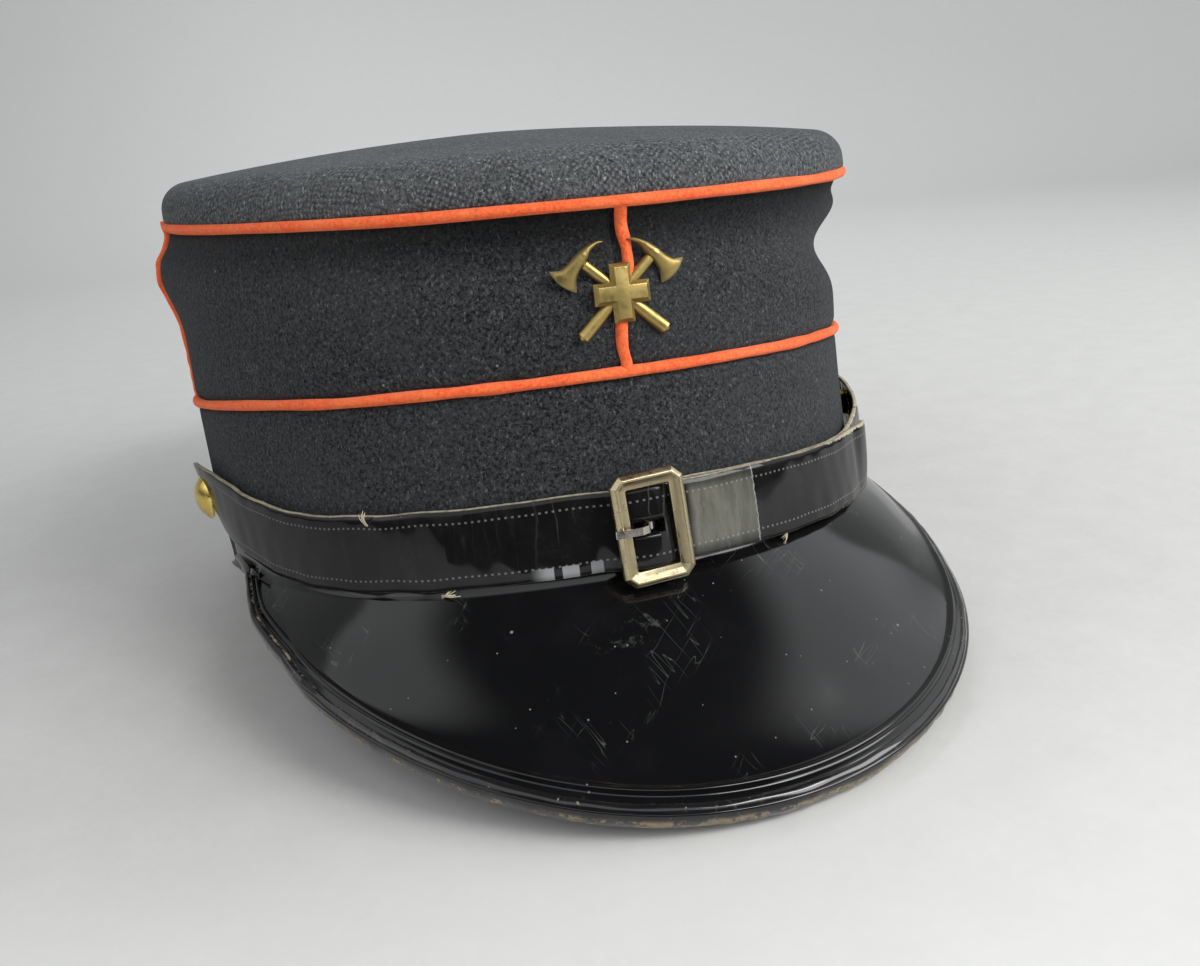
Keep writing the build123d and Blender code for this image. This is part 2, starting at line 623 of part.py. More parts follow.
def axe_outline():
    """An axe standing upright on the middle of the badge, with its blade towards -X."""
    half = HANDLE_WIDTH / 2
    handle = Pos(0, (HEAD_DISTANCE + EYE_LENGTH / 2 - HANDLE_LENGTH) / 2) * Rectangle(
        HANDLE_WIDTH, HANDLE_LENGTH + HEAD_DISTANCE + EYE_LENGTH / 2
    )
    low, high = HEAD_DISTANCE - EYE_LENGTH / 2, HEAD_DISTANCE + EYE_LENGTH / 2
    edge_low, edge_high = HEAD_DISTANCE - BLADE_LENGTH / 2, HEAD_DISTANCE + BLADE_LENGTH / 2
    middle = -(half + BLADE_REACH) / 2
    corner = BLADE_BOW - BLADE_REACH
    hollow = BLADE_BOW * 0.4
    blade = make_face([
        Line((half, low), (-half, low)),
        ThreePointArc((-half, low), (middle, low - hollow), (corner, edge_low)),
        ThreePointArc((corner, edge_low), (-BLADE_REACH, HEAD_DISTANCE), (corner, edge_high)),
        ThreePointArc((corner, edge_high), (middle, high + hollow), (-half, high)),
        Line((-half, high), (half, high)),
        Line((half, high), (half, low)),
    ])
    tip = (PICK_REACH, HEAD_DISTANCE - PICK_DROOP)
    pick_low = (half, low + hollow)
    pick_high = (half, high - hollow)
    pick_belly = PICK_REACH * 0.6
    pick = make_face([
        ThreePointArc(pick_low, (pick_belly, HEAD_DISTANCE - BLADE_BOW), tip),
        ThreePointArc(tip, (pick_belly, HEAD_DISTANCE + hollow), pick_high),
        Line(pick_high, pick_low),
    ])
    return handle + blade + pick


left_axe = extrude(Rot(0, 0, AXE_LEAN) * axe_outline(), AXE_THICKNESS)
right_axe = mirror(left_axe, about=Plane.YZ)
lap = Box(2 * HANDLE_WIDTH, 2 * HANDLE_WIDTH, AXE_THICKNESS / 2 + LAP_CLEAR)
left_axe -= Pos(0, 0, AXE_THICKNESS * 3 / 4) * lap
right_axe -= Pos(0, 0, AXE_THICKNESS / 4) * lap
cross = extrude(Rectangle(CROSS_SPAN, CROSS_ARM) + Rectangle(CROSS_ARM, CROSS_SPAN), CROSS_THICKNESS)
cross = chamfer(cross.faces().sort_by(Axis.Z)[-1].edges(), CROSS_BEVEL)
parts["badge_axe_left"] = badge_plane * left_axe
parts["badge_axe_right"] = badge_plane * right_axe
parts["badge_cross"] = badge_plane * Pos(0, 0, AXE_THICKNESS) * cross

badge_back = PIPING_PROUD + LAYER_GAP
nut_edge = -EYE_X + NUT_RADIUS
nut_sag = nut_edge**2 / (2 * (END_RADIUS + wall_inside))   # the round wall falls away beside the middle
nut_depth = badge_back - wall_inside + nut_sag + LAYER_GAP
post_reach = nut_depth + NUT_THICKNESS + BADGE_POST_SPARE
badge_posts = []
badge_nuts = []
for hand in (-1, 1):
    spot = badge_plane * Pos(hand * EYE_X, EYE_Y, 0)
    badge_posts.append(spot * Pos(0, 0, -post_reach / 2) * Cylinder(BADGE_POST_RADIUS, post_reach))
    nut = Cylinder(NUT_RADIUS, NUT_THICKNESS) - Cylinder(BADGE_POST_RADIUS + LAP_CLEAR, NUT_THICKNESS)
    badge_nuts.append(spot * Pos(0, 0, -nut_depth - NUT_THICKNESS / 2) * nut)
    hole = spot * Cylinder(BADGE_POST_RADIUS + BADGE_HOLE_CLEAR, 2 * post_reach)
    for name in ("side_panel_front_left", "side_panel_front_right", "side_board", "side_lining"):
        parts[name] -= hole
parts["badge_posts"] = Compound(children=badge_posts)
parts["badge_nuts"] = Compound(children=badge_nuts)

# ---- The pose of rest: tipped until the peak's rim and the back of the band share one level
bound_out = LAYER_GAP + BINDING_LEATHER
rim_proud, rim_height = PeakSection(0.0).at(-bound_out, PEAK_THICKNESS + bound_out)
REST_TILT = degrees(atan2(-rim_height, 2 * HALF_LENGTH + rim_proud))
tipped = Compound(children=[Rot(-REST_TILT, 0, 0) * shape for shape in parts.values()]).bounding_box()
REST = Pos(-tipped.center().X, -tipped.center().Y, -tipped.min.Z) * Rot(-REST_TILT, 0, 0)

os.makedirs("parts", exist_ok=True)
for name, shape in parts.items():
    export_step(REST * shape, f"parts/{name}.step")
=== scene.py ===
"""A stiff-sided kepi of dark wool with red piping, a patent-leather peak and a buckled chin strap."""
import json
import math

import bpy
import numpy as np
from mathutils import Matrix, Vector


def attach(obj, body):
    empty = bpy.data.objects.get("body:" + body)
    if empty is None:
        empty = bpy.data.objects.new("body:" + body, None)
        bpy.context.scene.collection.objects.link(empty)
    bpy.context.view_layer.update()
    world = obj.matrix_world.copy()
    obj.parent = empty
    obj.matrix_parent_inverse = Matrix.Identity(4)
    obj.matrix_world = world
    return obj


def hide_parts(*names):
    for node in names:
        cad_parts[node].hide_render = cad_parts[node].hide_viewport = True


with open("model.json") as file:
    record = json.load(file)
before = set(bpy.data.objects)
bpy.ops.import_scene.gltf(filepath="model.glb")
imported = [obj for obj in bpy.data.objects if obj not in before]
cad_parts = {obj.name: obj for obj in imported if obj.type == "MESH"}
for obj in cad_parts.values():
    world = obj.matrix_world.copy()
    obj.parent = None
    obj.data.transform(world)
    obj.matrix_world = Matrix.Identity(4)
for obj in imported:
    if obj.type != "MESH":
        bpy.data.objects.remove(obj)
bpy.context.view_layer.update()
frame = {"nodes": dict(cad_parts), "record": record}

MM = 0.001
mounts = {mount["name"]: mount for mount in frame["record"]["mounts"]}

# ---- The cap's own frame: X across, Y to the back, UP out of the head opening, in mm
UP = -Vector(mounts["head_opening"]["axis"])
ACROSS = Vector((1, 0, 0))
BACK = UP.cross(ACROSS)
ORIGIN = Vector(mounts["head_opening"]["pos_m"])
BASIS = np.array([ACROSS, BACK, UP])

# ---- Sizes in mm, shared by several pieces
HALF_LENGTH = 104.5
HALF_WIDTH = 87.0
END_RADIUS = 0.9 * HALF_WIDTH
BAND_HEIGHT = 43.4
CROWN_FRONT = 75.6
CROWN_BACK = 101.4
CROWN_EDGE = 11.0
CROWN_DOME = 6.0
CROWN_SHOULDER = 7.0
CLOTH = 1.5
PIPING = 1.15                # half the piping's width
SIDE_SEAM = 92.0             # angle of the side seams from the front
STRAP_LOW = 5.0
STRAP_WIDTH = 16.2
STRAP_LEATHER = 1.0
STRAP_BACK = 1.5
BUTTON_ANGLE = 80.0
BUTTON_HEIGHT = 19.9
BAR_PROUD = 2.88
LOOP_RADIUS = 1.38
SEAM_ANGLES = {"front": 0.0, "right": SIDE_SEAM, "rear": 180.0, "left": -SIDE_SEAM}
WHOLE_TURN = 2 * math.pi

END_CENTRE = HALF_LENGTH - END_RADIUS
SIDE_RADIUS = (END_CENTRE**2 + HALF_WIDTH**2 - END_RADIUS**2) / (2 * (HALF_WIDTH - END_RADIUS))
SIDE_CENTRE = SIDE_RADIUS - HALF_WIDTH
END_SPREAD = math.atan2(SIDE_CENTRE, END_CENTRE)
TOP_MIDDLE = (CROWN_FRONT + CROWN_BACK) / 2
TOP_SLOPE = (CROWN_BACK - CROWN_FRONT) / (2 * HALF_LENGTH)


def to_row(points):
    """Points of the cap's frame, in mm, as points of the row frame, in metres."""
    return np.asarray(points, float) @ BASIS * MM + np.array(ORIGIN)


def ease(value, start, end):
    """0 before start, 1 after end, and a smooth climb between them."""
    share = np.clip((np.asarray(value, float) - start) / (end - start), 0, 1)
    return share * share * (3 - 2 * share)


def hump(value, middle, width):
    """1 at the middle, falling smoothly to 0 a few widths away."""
    return np.exp(-(((np.asarray(value, float) - middle) / width) ** 2))


def around(angle, stations, softness=7.0):
    """A value read smoothly from (angle, value) stations round the cap."""
    whole = np.arange(-180, 180)
    places, values = zip(*stations)
    known = np.interp(whole, places, values, period=360)
    kernel = np.exp(-0.5 * (np.arange(-30, 31) / softness) ** 2)
    soft = np.convolve(np.tile(known, 3), kernel / kernel.sum(), "same")[360:720]
    return np.interp(angle, whole, soft, period=360)


class Ripple:
    """Smooth, repeatable unevenness of one or two coordinates."""

    def __init__(self, seed, count=6, finest=1.0):
        chance = np.random.RandomState(seed)
        self.waves = chance.uniform(-finest, finest, (count, 2))
        self.turns = chance.uniform(0, WHOLE_TURN, count)

    def __call__(self, x, y=0.0):
        total = 0.0
        for (along, across), turn in zip(self.waves, self.turns):
            total = total + np.sin(along * x + across * y + turn)
        return total / len(self.waves) ** 0.5


def oval(angle, proud):
    """X and Y of the head oval where its outward direction is this angle from the front, in degrees."""
    angle = (np.asarray(angle, float) + 180) % 360 - 180
    turn = np.radians(np.abs(angle))
    side = np.where(angle < 0, -1.0, 1.0)
    front = turn <= END_SPREAD
    rear = turn >= math.pi - END_SPREAD
    ends = front | rear
    centre_x = np.where(ends, 0.0, -SIDE_CENTRE)
    centre_y = np.where(front, -END_CENTRE, np.where(rear, END_CENTRE, 0.0))
    reach = np.where(ends, END_RADIUS, SIDE_RADIUS) + proud
    return side * (centre_x + reach * np.sin(turn)), centre_y - reach * np.cos(turn)


def top_height(angle):
    """Height of the crown's seam."""
    return TOP_MIDDLE + TOP_SLOPE * oval(angle, 0)[1]


# ---- How the worn cap departs from its pattern: its top leans, the cloth sags between the piped seams and is
# drawn in under the crown, and the foot is pinched at one side and flared at the other; (angle, mm) stations
TOP_LEAN = [(-180, -1.4), (-135, -1.5), (-90, 0.6), (-60, 0.4), (-30, 0.2), (0, 2.4), (30, 3.0), (60, 3.6),
            (90, 4.2), (120, 1.6), (150, -0.8)]
SAG_DEPTH = [(-180, 1.0), (-140, -1.0), (-104, -3.6), (-84, -3.8), (-70, -1.4), (-55, 0.6), (-40, 1.7),
             (-15, 1.9), (0, 1.7), (15, 2.2), (35, 3.6), (60, 6.4), (80, 5.6), (120, 2.0), (150, 1.0)]
SAG_PLACE = [(-180, 0.7), (-90, 0.72), (-40, 0.78), (0, 0.8), (30, 0.72), (60, 0.56), (90, 0.55), (150, 0.65)]
VALLEY_DEPTH = [(-180, 0.8), (-110, 0.3), (-70, 0.4), (-40, 1.0), (0, 1.5), (40, 2.3), (80, 2.4), (130, 1.0)]
VALLEY_BELOW = 3.6           # under the crown's seam
BAND_SHIFT = 0.96            # of the band's top, to -X
PINCH, PINCH_ANGLE = 1.0, -84
FLARE, FLARE_ANGLE = 2.6, 84
side_ripple = Ripple(11, 7, 0.06)


def lean(angle, height):
    """How far the wall stands out of its pattern, in mm."""
    angle = (np.asarray(angle, float) + 180) % 360 - 180
    top = top_height(angle)
    share = np.clip((height - BAND_HEIGHT) / (top - BAND_HEIGHT), 0, 1.3)
    out = around(angle, TOP_LEAN) * np.minimum(share, 1)
    sag = around(angle, SAG_DEPTH) * hump(share, around(angle, SAG_PLACE), 0.2)
    free = ease(share, 0, 0.2) * ease(share, 1, 0.8)
    low = -BAND_SHIFT * np.sin(np.radians(angle)) * np.clip(height / BAND_HEIGHT, 0, 1) * ease(share, 1, 0)
    pinch = PINCH * hump(angle, PINCH_ANGLE, 17) * ease(height, 19, -2)
    flare = FLARE * hump(angle, FLARE_ANGLE, 15) * ease(height, 34, 12)
    below = top - height
    valley = around(angle, VALLEY_DEPTH) * hump(below, VALLEY_BELOW, 3.0) * ease(below, 0.0, 1.4)
    return out - sag * free + low - pinch + flare - valley + 0.25 * free * side_ripple(angle, height * 2)


def wall(angle, height, proud=0.0):
    """Points on the wall of the cap, standing out of its outer face by proud."""
    angle, height, proud = np.broadcast_arrays(*[np.asarray(a, float) for a in (angle, height, proud)])
    x, y = oval(angle, proud + lean(angle, height))
    return np.stack([x, y, height], -1)


def upright_front(points, proud, height):
    """Points of a plate at the front of the cap (X, up, outward) in the cap's frame."""
    x, up, out = np.moveaxis(np.asarray(points, float), -1, 0)
    return np.stack([x, -(HALF_LENGTH + proud + out), height + up], -1)


# ---- Meshes
BOX_SIDES = [(3, 2, 1, 0), (4, 5, 6, 7), (0, 1, 5, 4), (1, 2, 6, 5), (2, 3, 7, 6), (3, 0, 4, 7)]


def add_mesh(name, points, faces, uv=None, smooth=True):
    """A mesh object from points of the cap's frame; uv is one pair for each point, in mm."""
    mesh = bpy.data.meshes.new(name)
    mesh.from_pydata(to_row(points).tolist(), [], [list(map(int, face)) for face in faces])
    if uv is not None:
        layer = mesh.uv_layers.new(name="cloth")
        corners = np.empty(len(mesh.loops), dtype=np.int32)
        mesh.loops.foreach_get("vertex_index", corners)
        layer.data.foreach_set("uv", (np.asarray(uv)[corners] * 0.01).astype(np.float32).ravel())
    mesh.polygons.foreach_set("use_smooth", [smooth] * len(mesh.polygons))
    mesh.update()
    made = bpy.data.objects.new(name, mesh)
    bpy.context.scene.collection.objects.link(made)
    return made


def quads(rows, columns, wrap, start=0, turned=False):
    """The faces of a grid of points that are stored row by row."""
    r, c = np.meshgrid(np.arange(rows - 1), np.arange(columns if wrap else columns - 1), indexing="ij")
    d = (c + 1) % columns
    faces = np.stack([r * columns + c, r * columns + d, (r + 1) * columns + d, (r + 1) * columns + c], -1)
    faces = faces.reshape(-1, 4) + start
    return faces[:, ::-1] if turned else faces


def tube(name, sections, wrap, uv):
    """A solid from its sections, (stations, corners, 3): rings of corners that are joined up in turn."""
    stations, corners = sections.shape[:2]
    faces = (quads(corners + 1, stations, wrap) % (corners * stations)).tolist()
    if not wrap:
        faces.append([k * stations for k in range(corners)])
        faces.append([k * stations + stations - 1 for k in range(corners)][::-1])
    points = np.swapaxes(sections, 0, 1).reshape(-1, 3)
    return add_mesh(name, points, faces, np.swapaxes(uv, 0, 1).reshape(-1, 2))


def layer(name, outside, inside, uv, wrap=False):
    """A sheet with thickness: two grids of points (rows, columns, 3), joined round their edges."""
    rows, columns = outside.shape[:2]
    count = rows * columns
    faces = [quads(rows, columns, wrap), quads(rows, columns, wrap, count, True)]
    c = np.arange(columns if wrap else columns - 1)
    r = np.arange(rows - 1)
    edges = [(row * columns + c, row * columns + (c + 1) % columns, row == 0) for row in (0, rows - 1)]
    if not wrap:
        edges += [(r * columns + side, (r + 1) * columns + side, side > 0) for side in (0, columns - 1)]
    for start, end, turned in edges:
        edge = np.stack([start, end, count + end, count + start], -1)
        faces.append(edge[:, ::-1] if turned else edge)
    points = np.concatenate([outside.reshape(-1, 3), inside.reshape(-1, 3)])
    both = np.concatenate([uv.reshape(-1, 2), uv.reshape(-1, 2)])
    return add_mesh(name, points, np.concatenate(faces), both)


def finish_piece(piece, body, slot, material, *nodes):
    """Puts a piece on its body, in place of these nodes, with its material."""
    piece.data.materials.clear()
    piece.data.materials.append(material)
    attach(piece, body)
    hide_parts(*nodes)


def along(angle):
    """Length round the cap from the front, in mm."""
    angle = np.asarray(angle, float)
    turn = np.radians(np.abs(angle))
    front = np.minimum(turn, END_SPREAD) * END_RADIUS
    side = (np.clip(turn, END_SPREAD, math.pi - END_SPREAD) - END_SPREAD) * SIDE_RADIUS
    rear = np.maximum(turn - (math.pi - END_SPREAD), 0) * END_RADIUS
    return np.sign(angle) * (front + side + rear)


def offset(grid, distance, wrap=False):
    """The grid moved along its own normals; rows run up and columns run towards +X across the front."""
    up = np.gradient(grid, axis=0)
    if wrap:
        sideways = (np.roll(grid, -1, axis=1) - np.roll(grid, 1, axis=1)) / 2
    else:
        sideways = np.gradient(grid, axis=1)
    normal = np.cross(sideways, up)
    normal /= np.maximum(np.linalg.norm(normal, axis=-1, keepdims=True), 1e-9)
    return grid + normal * distance


def plain_uv(angle, across):
    """The lay-out of a flat strip that runs round the cap."""
    angle, across = np.broadcast_arrays(along(angle), across)
    return np.stack([angle, across], -1)


def girth_of(corners):
    """Length round a section, from its first corner to each."""
    return np.concatenate([[0], np.cumsum(np.linalg.norm(np.diff(np.array(corners), axis=0), axis=-1))])


# ---- Crown
SHOULDER_SWELL = 0.5         # the crown's edge rolls out over its seam
SHOULDER_END = 81            # degrees up the shoulder's curve, where the dome begins
CROWN_UNEVEN = 0.25
DOME_SUNK = 0.5
DOME_MIDDLE = 0.004          # share of the dome that its last, flat face takes


def crown_grid(angles, rows_on_dome, depth, low):
    """The crown's outer face sunk by depth, and its lay-out as a flat round of cloth."""
    steps = [(0.35, low), (-0.25, low + 0.7), (-0.55, low + 1.8)]
    for phi in np.radians(np.linspace(0, SHOULDER_END, 12)):
        inset = CROWN_SHOULDER * (1 - math.cos(phi)) - SHOULDER_SWELL * math.cos(phi)
        steps.append((inset, CROWN_EDGE - CROWN_SHOULDER + CROWN_SHOULDER * math.sin(phi)))
    stand = lean(angles, top_height(angles))
    dent = side_ripple(angles, 0) * CROWN_UNEVEN
    grid = []
    for inset, rise in steps:
        x, y = oval(angles, stand - inset - depth)
        z = TOP_MIDDLE + TOP_SLOPE * y + rise - depth * ease(rise, 2, CROWN_EDGE) + dent
        grid.append(np.stack([x, y, z], -1))
    edge = grid[-1]
    middle = edge.mean(axis=0)
    middle[2] = TOP_MIDDLE + TOP_SLOPE * middle[1] + CROWN_EDGE - depth
    edge_over = edge[:, 2] - (TOP_MIDDLE + TOP_SLOPE * edge[:, 1])
    for share in np.linspace(1, DOME_MIDDLE, rows_on_dome + 1)[1:]:
        ring = middle + (edge - middle) * share
        plane = TOP_MIDDLE + TOP_SLOPE * ring[:, 1]
        sunk = DOME_SUNK * np.sin(ring[:, 0] * 0.05 + 1.0) * np.cos(ring[:, 1] * 0.04 - 0.5) * (1 - share**2)
        over = edge_over * share + (CROWN_EDGE - depth) * (1 - share)
        ring[:, 2] = plane + over + CROWN_DOME * (1 - share**2) + sunk
        grid.append(ring)
    grid = np.array(grid)
    steps_out = np.linalg.norm(np.diff(grid, axis=0), axis=-1)
    reach = np.concatenate([np.cumsum(steps_out[::-1], axis=0)[::-1], np.zeros((1, len(angles)))])
    toward = grid[0, :, :2] - middle[:2]
    toward /= np.linalg.norm(toward, axis=-1, keepdims=True)
    return grid, toward[None] * reach[..., None]


def crown_piece(name, depth, thickness, low, columns, rows_on_dome):
    """A round of cloth, card or lining whose turned-down edge ends this low over the crown's seam."""
    angles = np.linspace(-180, 180, columns, endpoint=False)
    outer, flat = crown_grid(angles, rows_on_dome, depth, low)
    inner, _ = crown_grid(angles, rows_on_dome, depth + thickness, low)
    rows = len(outer)
    count = rows * columns
    faces = quads(rows, columns, True).tolist() + quads(rows, columns, True, count, True).tolist()
    faces.append(list(range(count - columns, count)))
    faces.append(list(range(2 * count - columns, 2 * count))[::-1])
    for c in range(columns):
        d = (c + 1) % columns
        faces.append([d, c, count + c, count + d])
    points = np.concatenate([outer.reshape(-1, 3), inner.reshape(-1, 3)])
    return add_mesh(name, points, faces, np.concatenate([flat.reshape(-1, 2)] * 2))


# ---- Wall
def seam_dip(distance):
    """The cloth turns in where it is sewn."""
    return -0.8 * hump(distance, 0, 1.1)


def wall_piece(name, angles, low, high, rows, thickness=CLOTH, proud=0.0, wrap=False, seams=(),
               dips=(True, True)):
    """A piece of the cap's wall between two heights, each a number or one for each angle.

    The cloth dips at these upright seams, and at its lower and upper edge where dips says so.
    """
    share = np.linspace(0, 1, rows)[:, None]
    low, high = np.broadcast_to(low, angles.shape), np.broadcast_to(high, angles.shape)
    height = low + (high - low) * share
    out = np.full(height.shape, float(proud))
    if dips[0]:
        out = out + seam_dip(height - low)
    if dips[1]:
        out = out + seam_dip(high - height)
    for seam in seams:
        out = out + seam_dip(along(angles) - along(seam))[None, :]
    outer = wall(angles[None, :], height, out)
    inner = wall(angles[None, :], height, np.full(height.shape, proud - thickness))
    level = height - top_height(angles) * (low[0] > BAND_HEIGHT / 2)
    return layer(name, outer, inner, plain_uv(angles[None, :], level), wrap)


# ---- Piping
PIPING_CORNERS = 12
PIPING_PROUD = 0.1


def piping_section(middle, outward, upward, radius):
    """Rings of corners round the soft edging that stands out of a seam."""
    turns = np.linspace(0, WHOLE_TURN, PIPING_CORNERS, endpoint=False)
    out = np.cos(turns)[None, :, None] * outward[:, None, :]
    up = np.sin(turns)[None, :, None] * upward[:, None, :]
    return middle[:, None, :] + (out + up) * radius[:, None, None]


def outward_at(angles):
    """The direction that faces out of the cap."""
    turn = np.radians(angles)
    return np.stack([np.sin(turn), -np.cos(turn), 0 * turn], -1)


def piping_uv(run):
    """The lay-out of a piping: along it, and round it."""
    girth = np.linspace(0, WHOLE_TURN * PIPING, PIPING_CORNERS)
    return np.stack(np.broadcast_arrays(run[:, None], girth[None, :]), -1)


def ring_piping(name, height_of, seed):
    """Piping round the whole cap, a little uneven in height and thickness."""
    angles = np.linspace(-180, 180, 900, endpoint=False)
    wave = Ripple(seed, 8, 0.25)
    height = height_of(angles) + 0.14 * wave(angles)
    radius = PIPING * (1 + 0.05 * wave(angles * 3, 5))
    middle = wall(angles, height, PIPING_PROUD + 0.06 * wave(angles * 2, 9))
    up = np.tile([0.0, 0.0, 1.0], (len(angles), 1))
    return tube(name, piping_section(middle, outward_at(angles), up, radius), True, piping_uv(along(angles)))


SEAM_SWAY = {"front": 1.0, "right": 0.3, "rear": 0.2, "left": 0.3}       # in mm
SEAM_SHIFT = {"front": 2.6, "right": 0.0, "rear": 0.0, "left": 8.0}      # of the top end, in mm


def seam_line(name, height):
    """The angle of an upright seam at a height: it sways a little."""
    low, high = BAND_HEIGHT, float(top_height(SEAM_ANGLES[name]))
    share = (height - low) / (high - low)
    sway = SEAM_SWAY[name] * (0.9 * np.sin(share * 7.4 + 2.9) - 0.2)
    aside = sway * ease(share, 0, 0.15) + SEAM_SHIFT[name] * share
    return SEAM_ANGLES[name] + np.degrees(aside / END_RADIUS)


def upright_piping(name, seed):
    """Piping from the band up to the crown."""
    height = np.linspace(BAND_HEIGHT, float(top_height(SEAM_ANGLES[name])), 90)
    wave = Ripple(seed, 8, 0.9)
    angles = seam_line(name, height)
    middle = wall(angles, height, PIPING_PROUD + 0.06 * wave(height))
    outward = outward_at(angles)
    sideways = np.stack([-outward[:, 1], outward[:, 0], 0 * angles], -1)
    radius = PIPING * 1.05 * (1 + 0.06 * wave(height * 2, 3))
    sections = piping_section(middle, outward, sideways, radius)
    return tube(f"piping_upright_{name}", sections, False, piping_uv(height))


# ---- Peak
PEAK_TURN = 5.3              # the peak sits a little to +X
PEAK_HALF_ANGLE = 78.7
PEAK_RUN = 39.4              # outwards at the middle
PEAK_EAR = 2.5               # outwards at the ends
PEAK_SHORT, PEAK_SHORT_ANGLE = 2.9, -34       # taken off its left front
PEAK_SLOPE_ENDS, PEAK_SLOPE_MORE = 0.632, 0.209       # at the ends, and added at the middle
PEAK_ROOT = 0.2
PEAK_ROOT_RISE = 4.6         # the root is drawn up behind the strap
PEAK_EAR_RISE = 5.0          # and the left end with it
PEAK_LEATHER = 1.0
PEAK_FLANGE_TOP, PEAK_FLANGE_FOOT, PEAK_FLANGE_PROUD = 10.5, 6.6, 1.2
PEAK_BEND = 2.6              # from the flange to the slope
BINDING_WIDTH = 3.5
BINDING_PATTERN = 7.4        # the width that its section is drawn at


def peak_shape(angle):
    """Length down the slope, the slope's angle and the binding's width, at each angle round the cap."""
    aside = (angle - PEAK_TURN) / PEAK_HALF_ANGLE
    narrowing = np.maximum(np.cos(math.pi / 2 * (angle - PEAK_TURN) / PEAK_HALF_ANGLE), 0)
    run = PEAK_EAR + (PEAK_RUN - PEAK_EAR) * narrowing**1.075 - PEAK_SHORT * hump(angle, PEAK_SHORT_ANGLE, 26)
    run = run * (1 - 0.7 * ease(np.abs(aside), 0.82, 1.0))
    slope = np.arctan(PEAK_SLOPE_ENDS + PEAK_SLOPE_MORE * narrowing)
    bound = BINDING_WIDTH * (0.5 + 0.5 * (1 - (1 - narrowing) ** 3))
    return run / np.cos(slope), slope, bound


def peak_point(angle, from_rim, lift):
    """A point this far in from the rim and this far over the peak's face."""
    length, slope, _ = peak_shape(angle)
    level = length - from_rim
    proud = level * np.cos(slope) + lift * np.sin(slope)
    aside = (PEAK_TURN - angle) / PEAK_HALF_ANGLE
    rise = PEAK_ROOT_RISE * (1 - np.clip(level / length, 0, 1))
    rise = np.maximum(rise, PEAK_EAR_RISE * ease(aside, 0.62, 1.0))
    height = PEAK_ROOT + rise - level * np.sin(slope) + lift * np.cos(slope)
    held = np.clip(1 - level / length, 0, 1)
    x, y = oval(angle, proud + lean(angle, 1.0 + 0 * level) * held)
    return np.stack(np.broadcast_arrays(x, y, height), -1)


def peak_bulge(length, from_rim):
    """The whole peak is slightly crowned."""
    return np.sin(math.pi * np.clip(from_rim / length, 0, 1)) ** 1.5


def peak_swell(angle, from_rim):
    """The face is drawn up into a thin ridge beside the binding."""
    length, _, bound = peak_shape(angle)
    beside = from_rim - bound
    ridge = 0.55 * hump(beside, 1.2, 0.6) - 0.25 * hump(beside, 0.1, 0.45)
    ridge = ridge + 1.4 * np.exp(-np.maximum(beside - 0.8, 0) / 4.2) * ease(length, 6, 30)
    return ridge + peak_bulge(length, from_rim)


def peak_angles(count):
    """Angles from one end of the peak to the other."""
    return np.linspace(PEAK_TURN - PEAK_HALF_ANGLE, PEAK_TURN + PEAK_HALF_ANGLE, count)


def peak_face():
    """The patent leather: up the wall behind the strap, round the root and down to the rim."""
    angles = peak_angles(420)
    length, _, bound = peak_shape(angles)
    flange = np.linspace(PEAK_FLANGE_TOP, PEAK_FLANGE_FOOT, 5)
    rows = [wall(angles, height, PEAK_FLANGE_PROUD) for height in flange]
    root = peak_point(angles, length, 0) + (wall(angles, 4, PEAK_FLANGE_PROUD) - wall(angles, 4, 0))
    foot = rows[-1]
    inner_start = length - PEAK_BEND
    lower = peak_point(angles, inner_start, peak_swell(angles, inner_start))
    for bend in np.linspace(0, 1, 6)[1:-1]:
        rows.append((1 - bend) ** 2 * foot + 2 * bend * (1 - bend) * root + bend**2 * lower)
    outer_start = bound + np.minimum(6.0, 0.4 * (length - bound))
    inner = inner_start + (outer_start - inner_start) * np.linspace(0, 1, 34)[:, None]
    fine = outer_start - np.linspace(0, 1, 26)[1:, None] * (outer_start - 0.2)
    for from_rim in np.concatenate([inner, fine]):
        rows.append(peak_point(angles, from_rim, peak_swell(angles, from_rim)))
    grid = np.array(rows)[::-1]
    steps = np.linalg.norm(np.diff(grid, axis=0), axis=-1)
    drawn = np.concatenate([np.zeros((1, len(angles))), np.cumsum(steps, axis=0)])
    uv = np.stack(np.broadcast_arrays(along(angles) * 1.2, drawn), -1)
    return layer("peak_patent_leather", grid, offset(grid, -PEAK_LEATHER), uv)


def peak_sheet(name, depth, thickness):
    """The peak's core or underside, this far under its face."""
    angles = peak_angles(200)[None, :]
    length = peak_shape(angles)[0]
    share = np.linspace(0, 1, 30)[:, None]
    from_rim = length * share + 0.3 * (1 - share)
    bulge = peak_bulge(length, from_rim)
    outer = peak_point(angles, from_rim, bulge - depth)
    inner = peak_point(angles, from_rim, bulge - depth - thickness)
    uv = np.stack(np.broadcast_arrays(along(angles), from_rim), -1)
    return layer(name, outer, inner, uv)


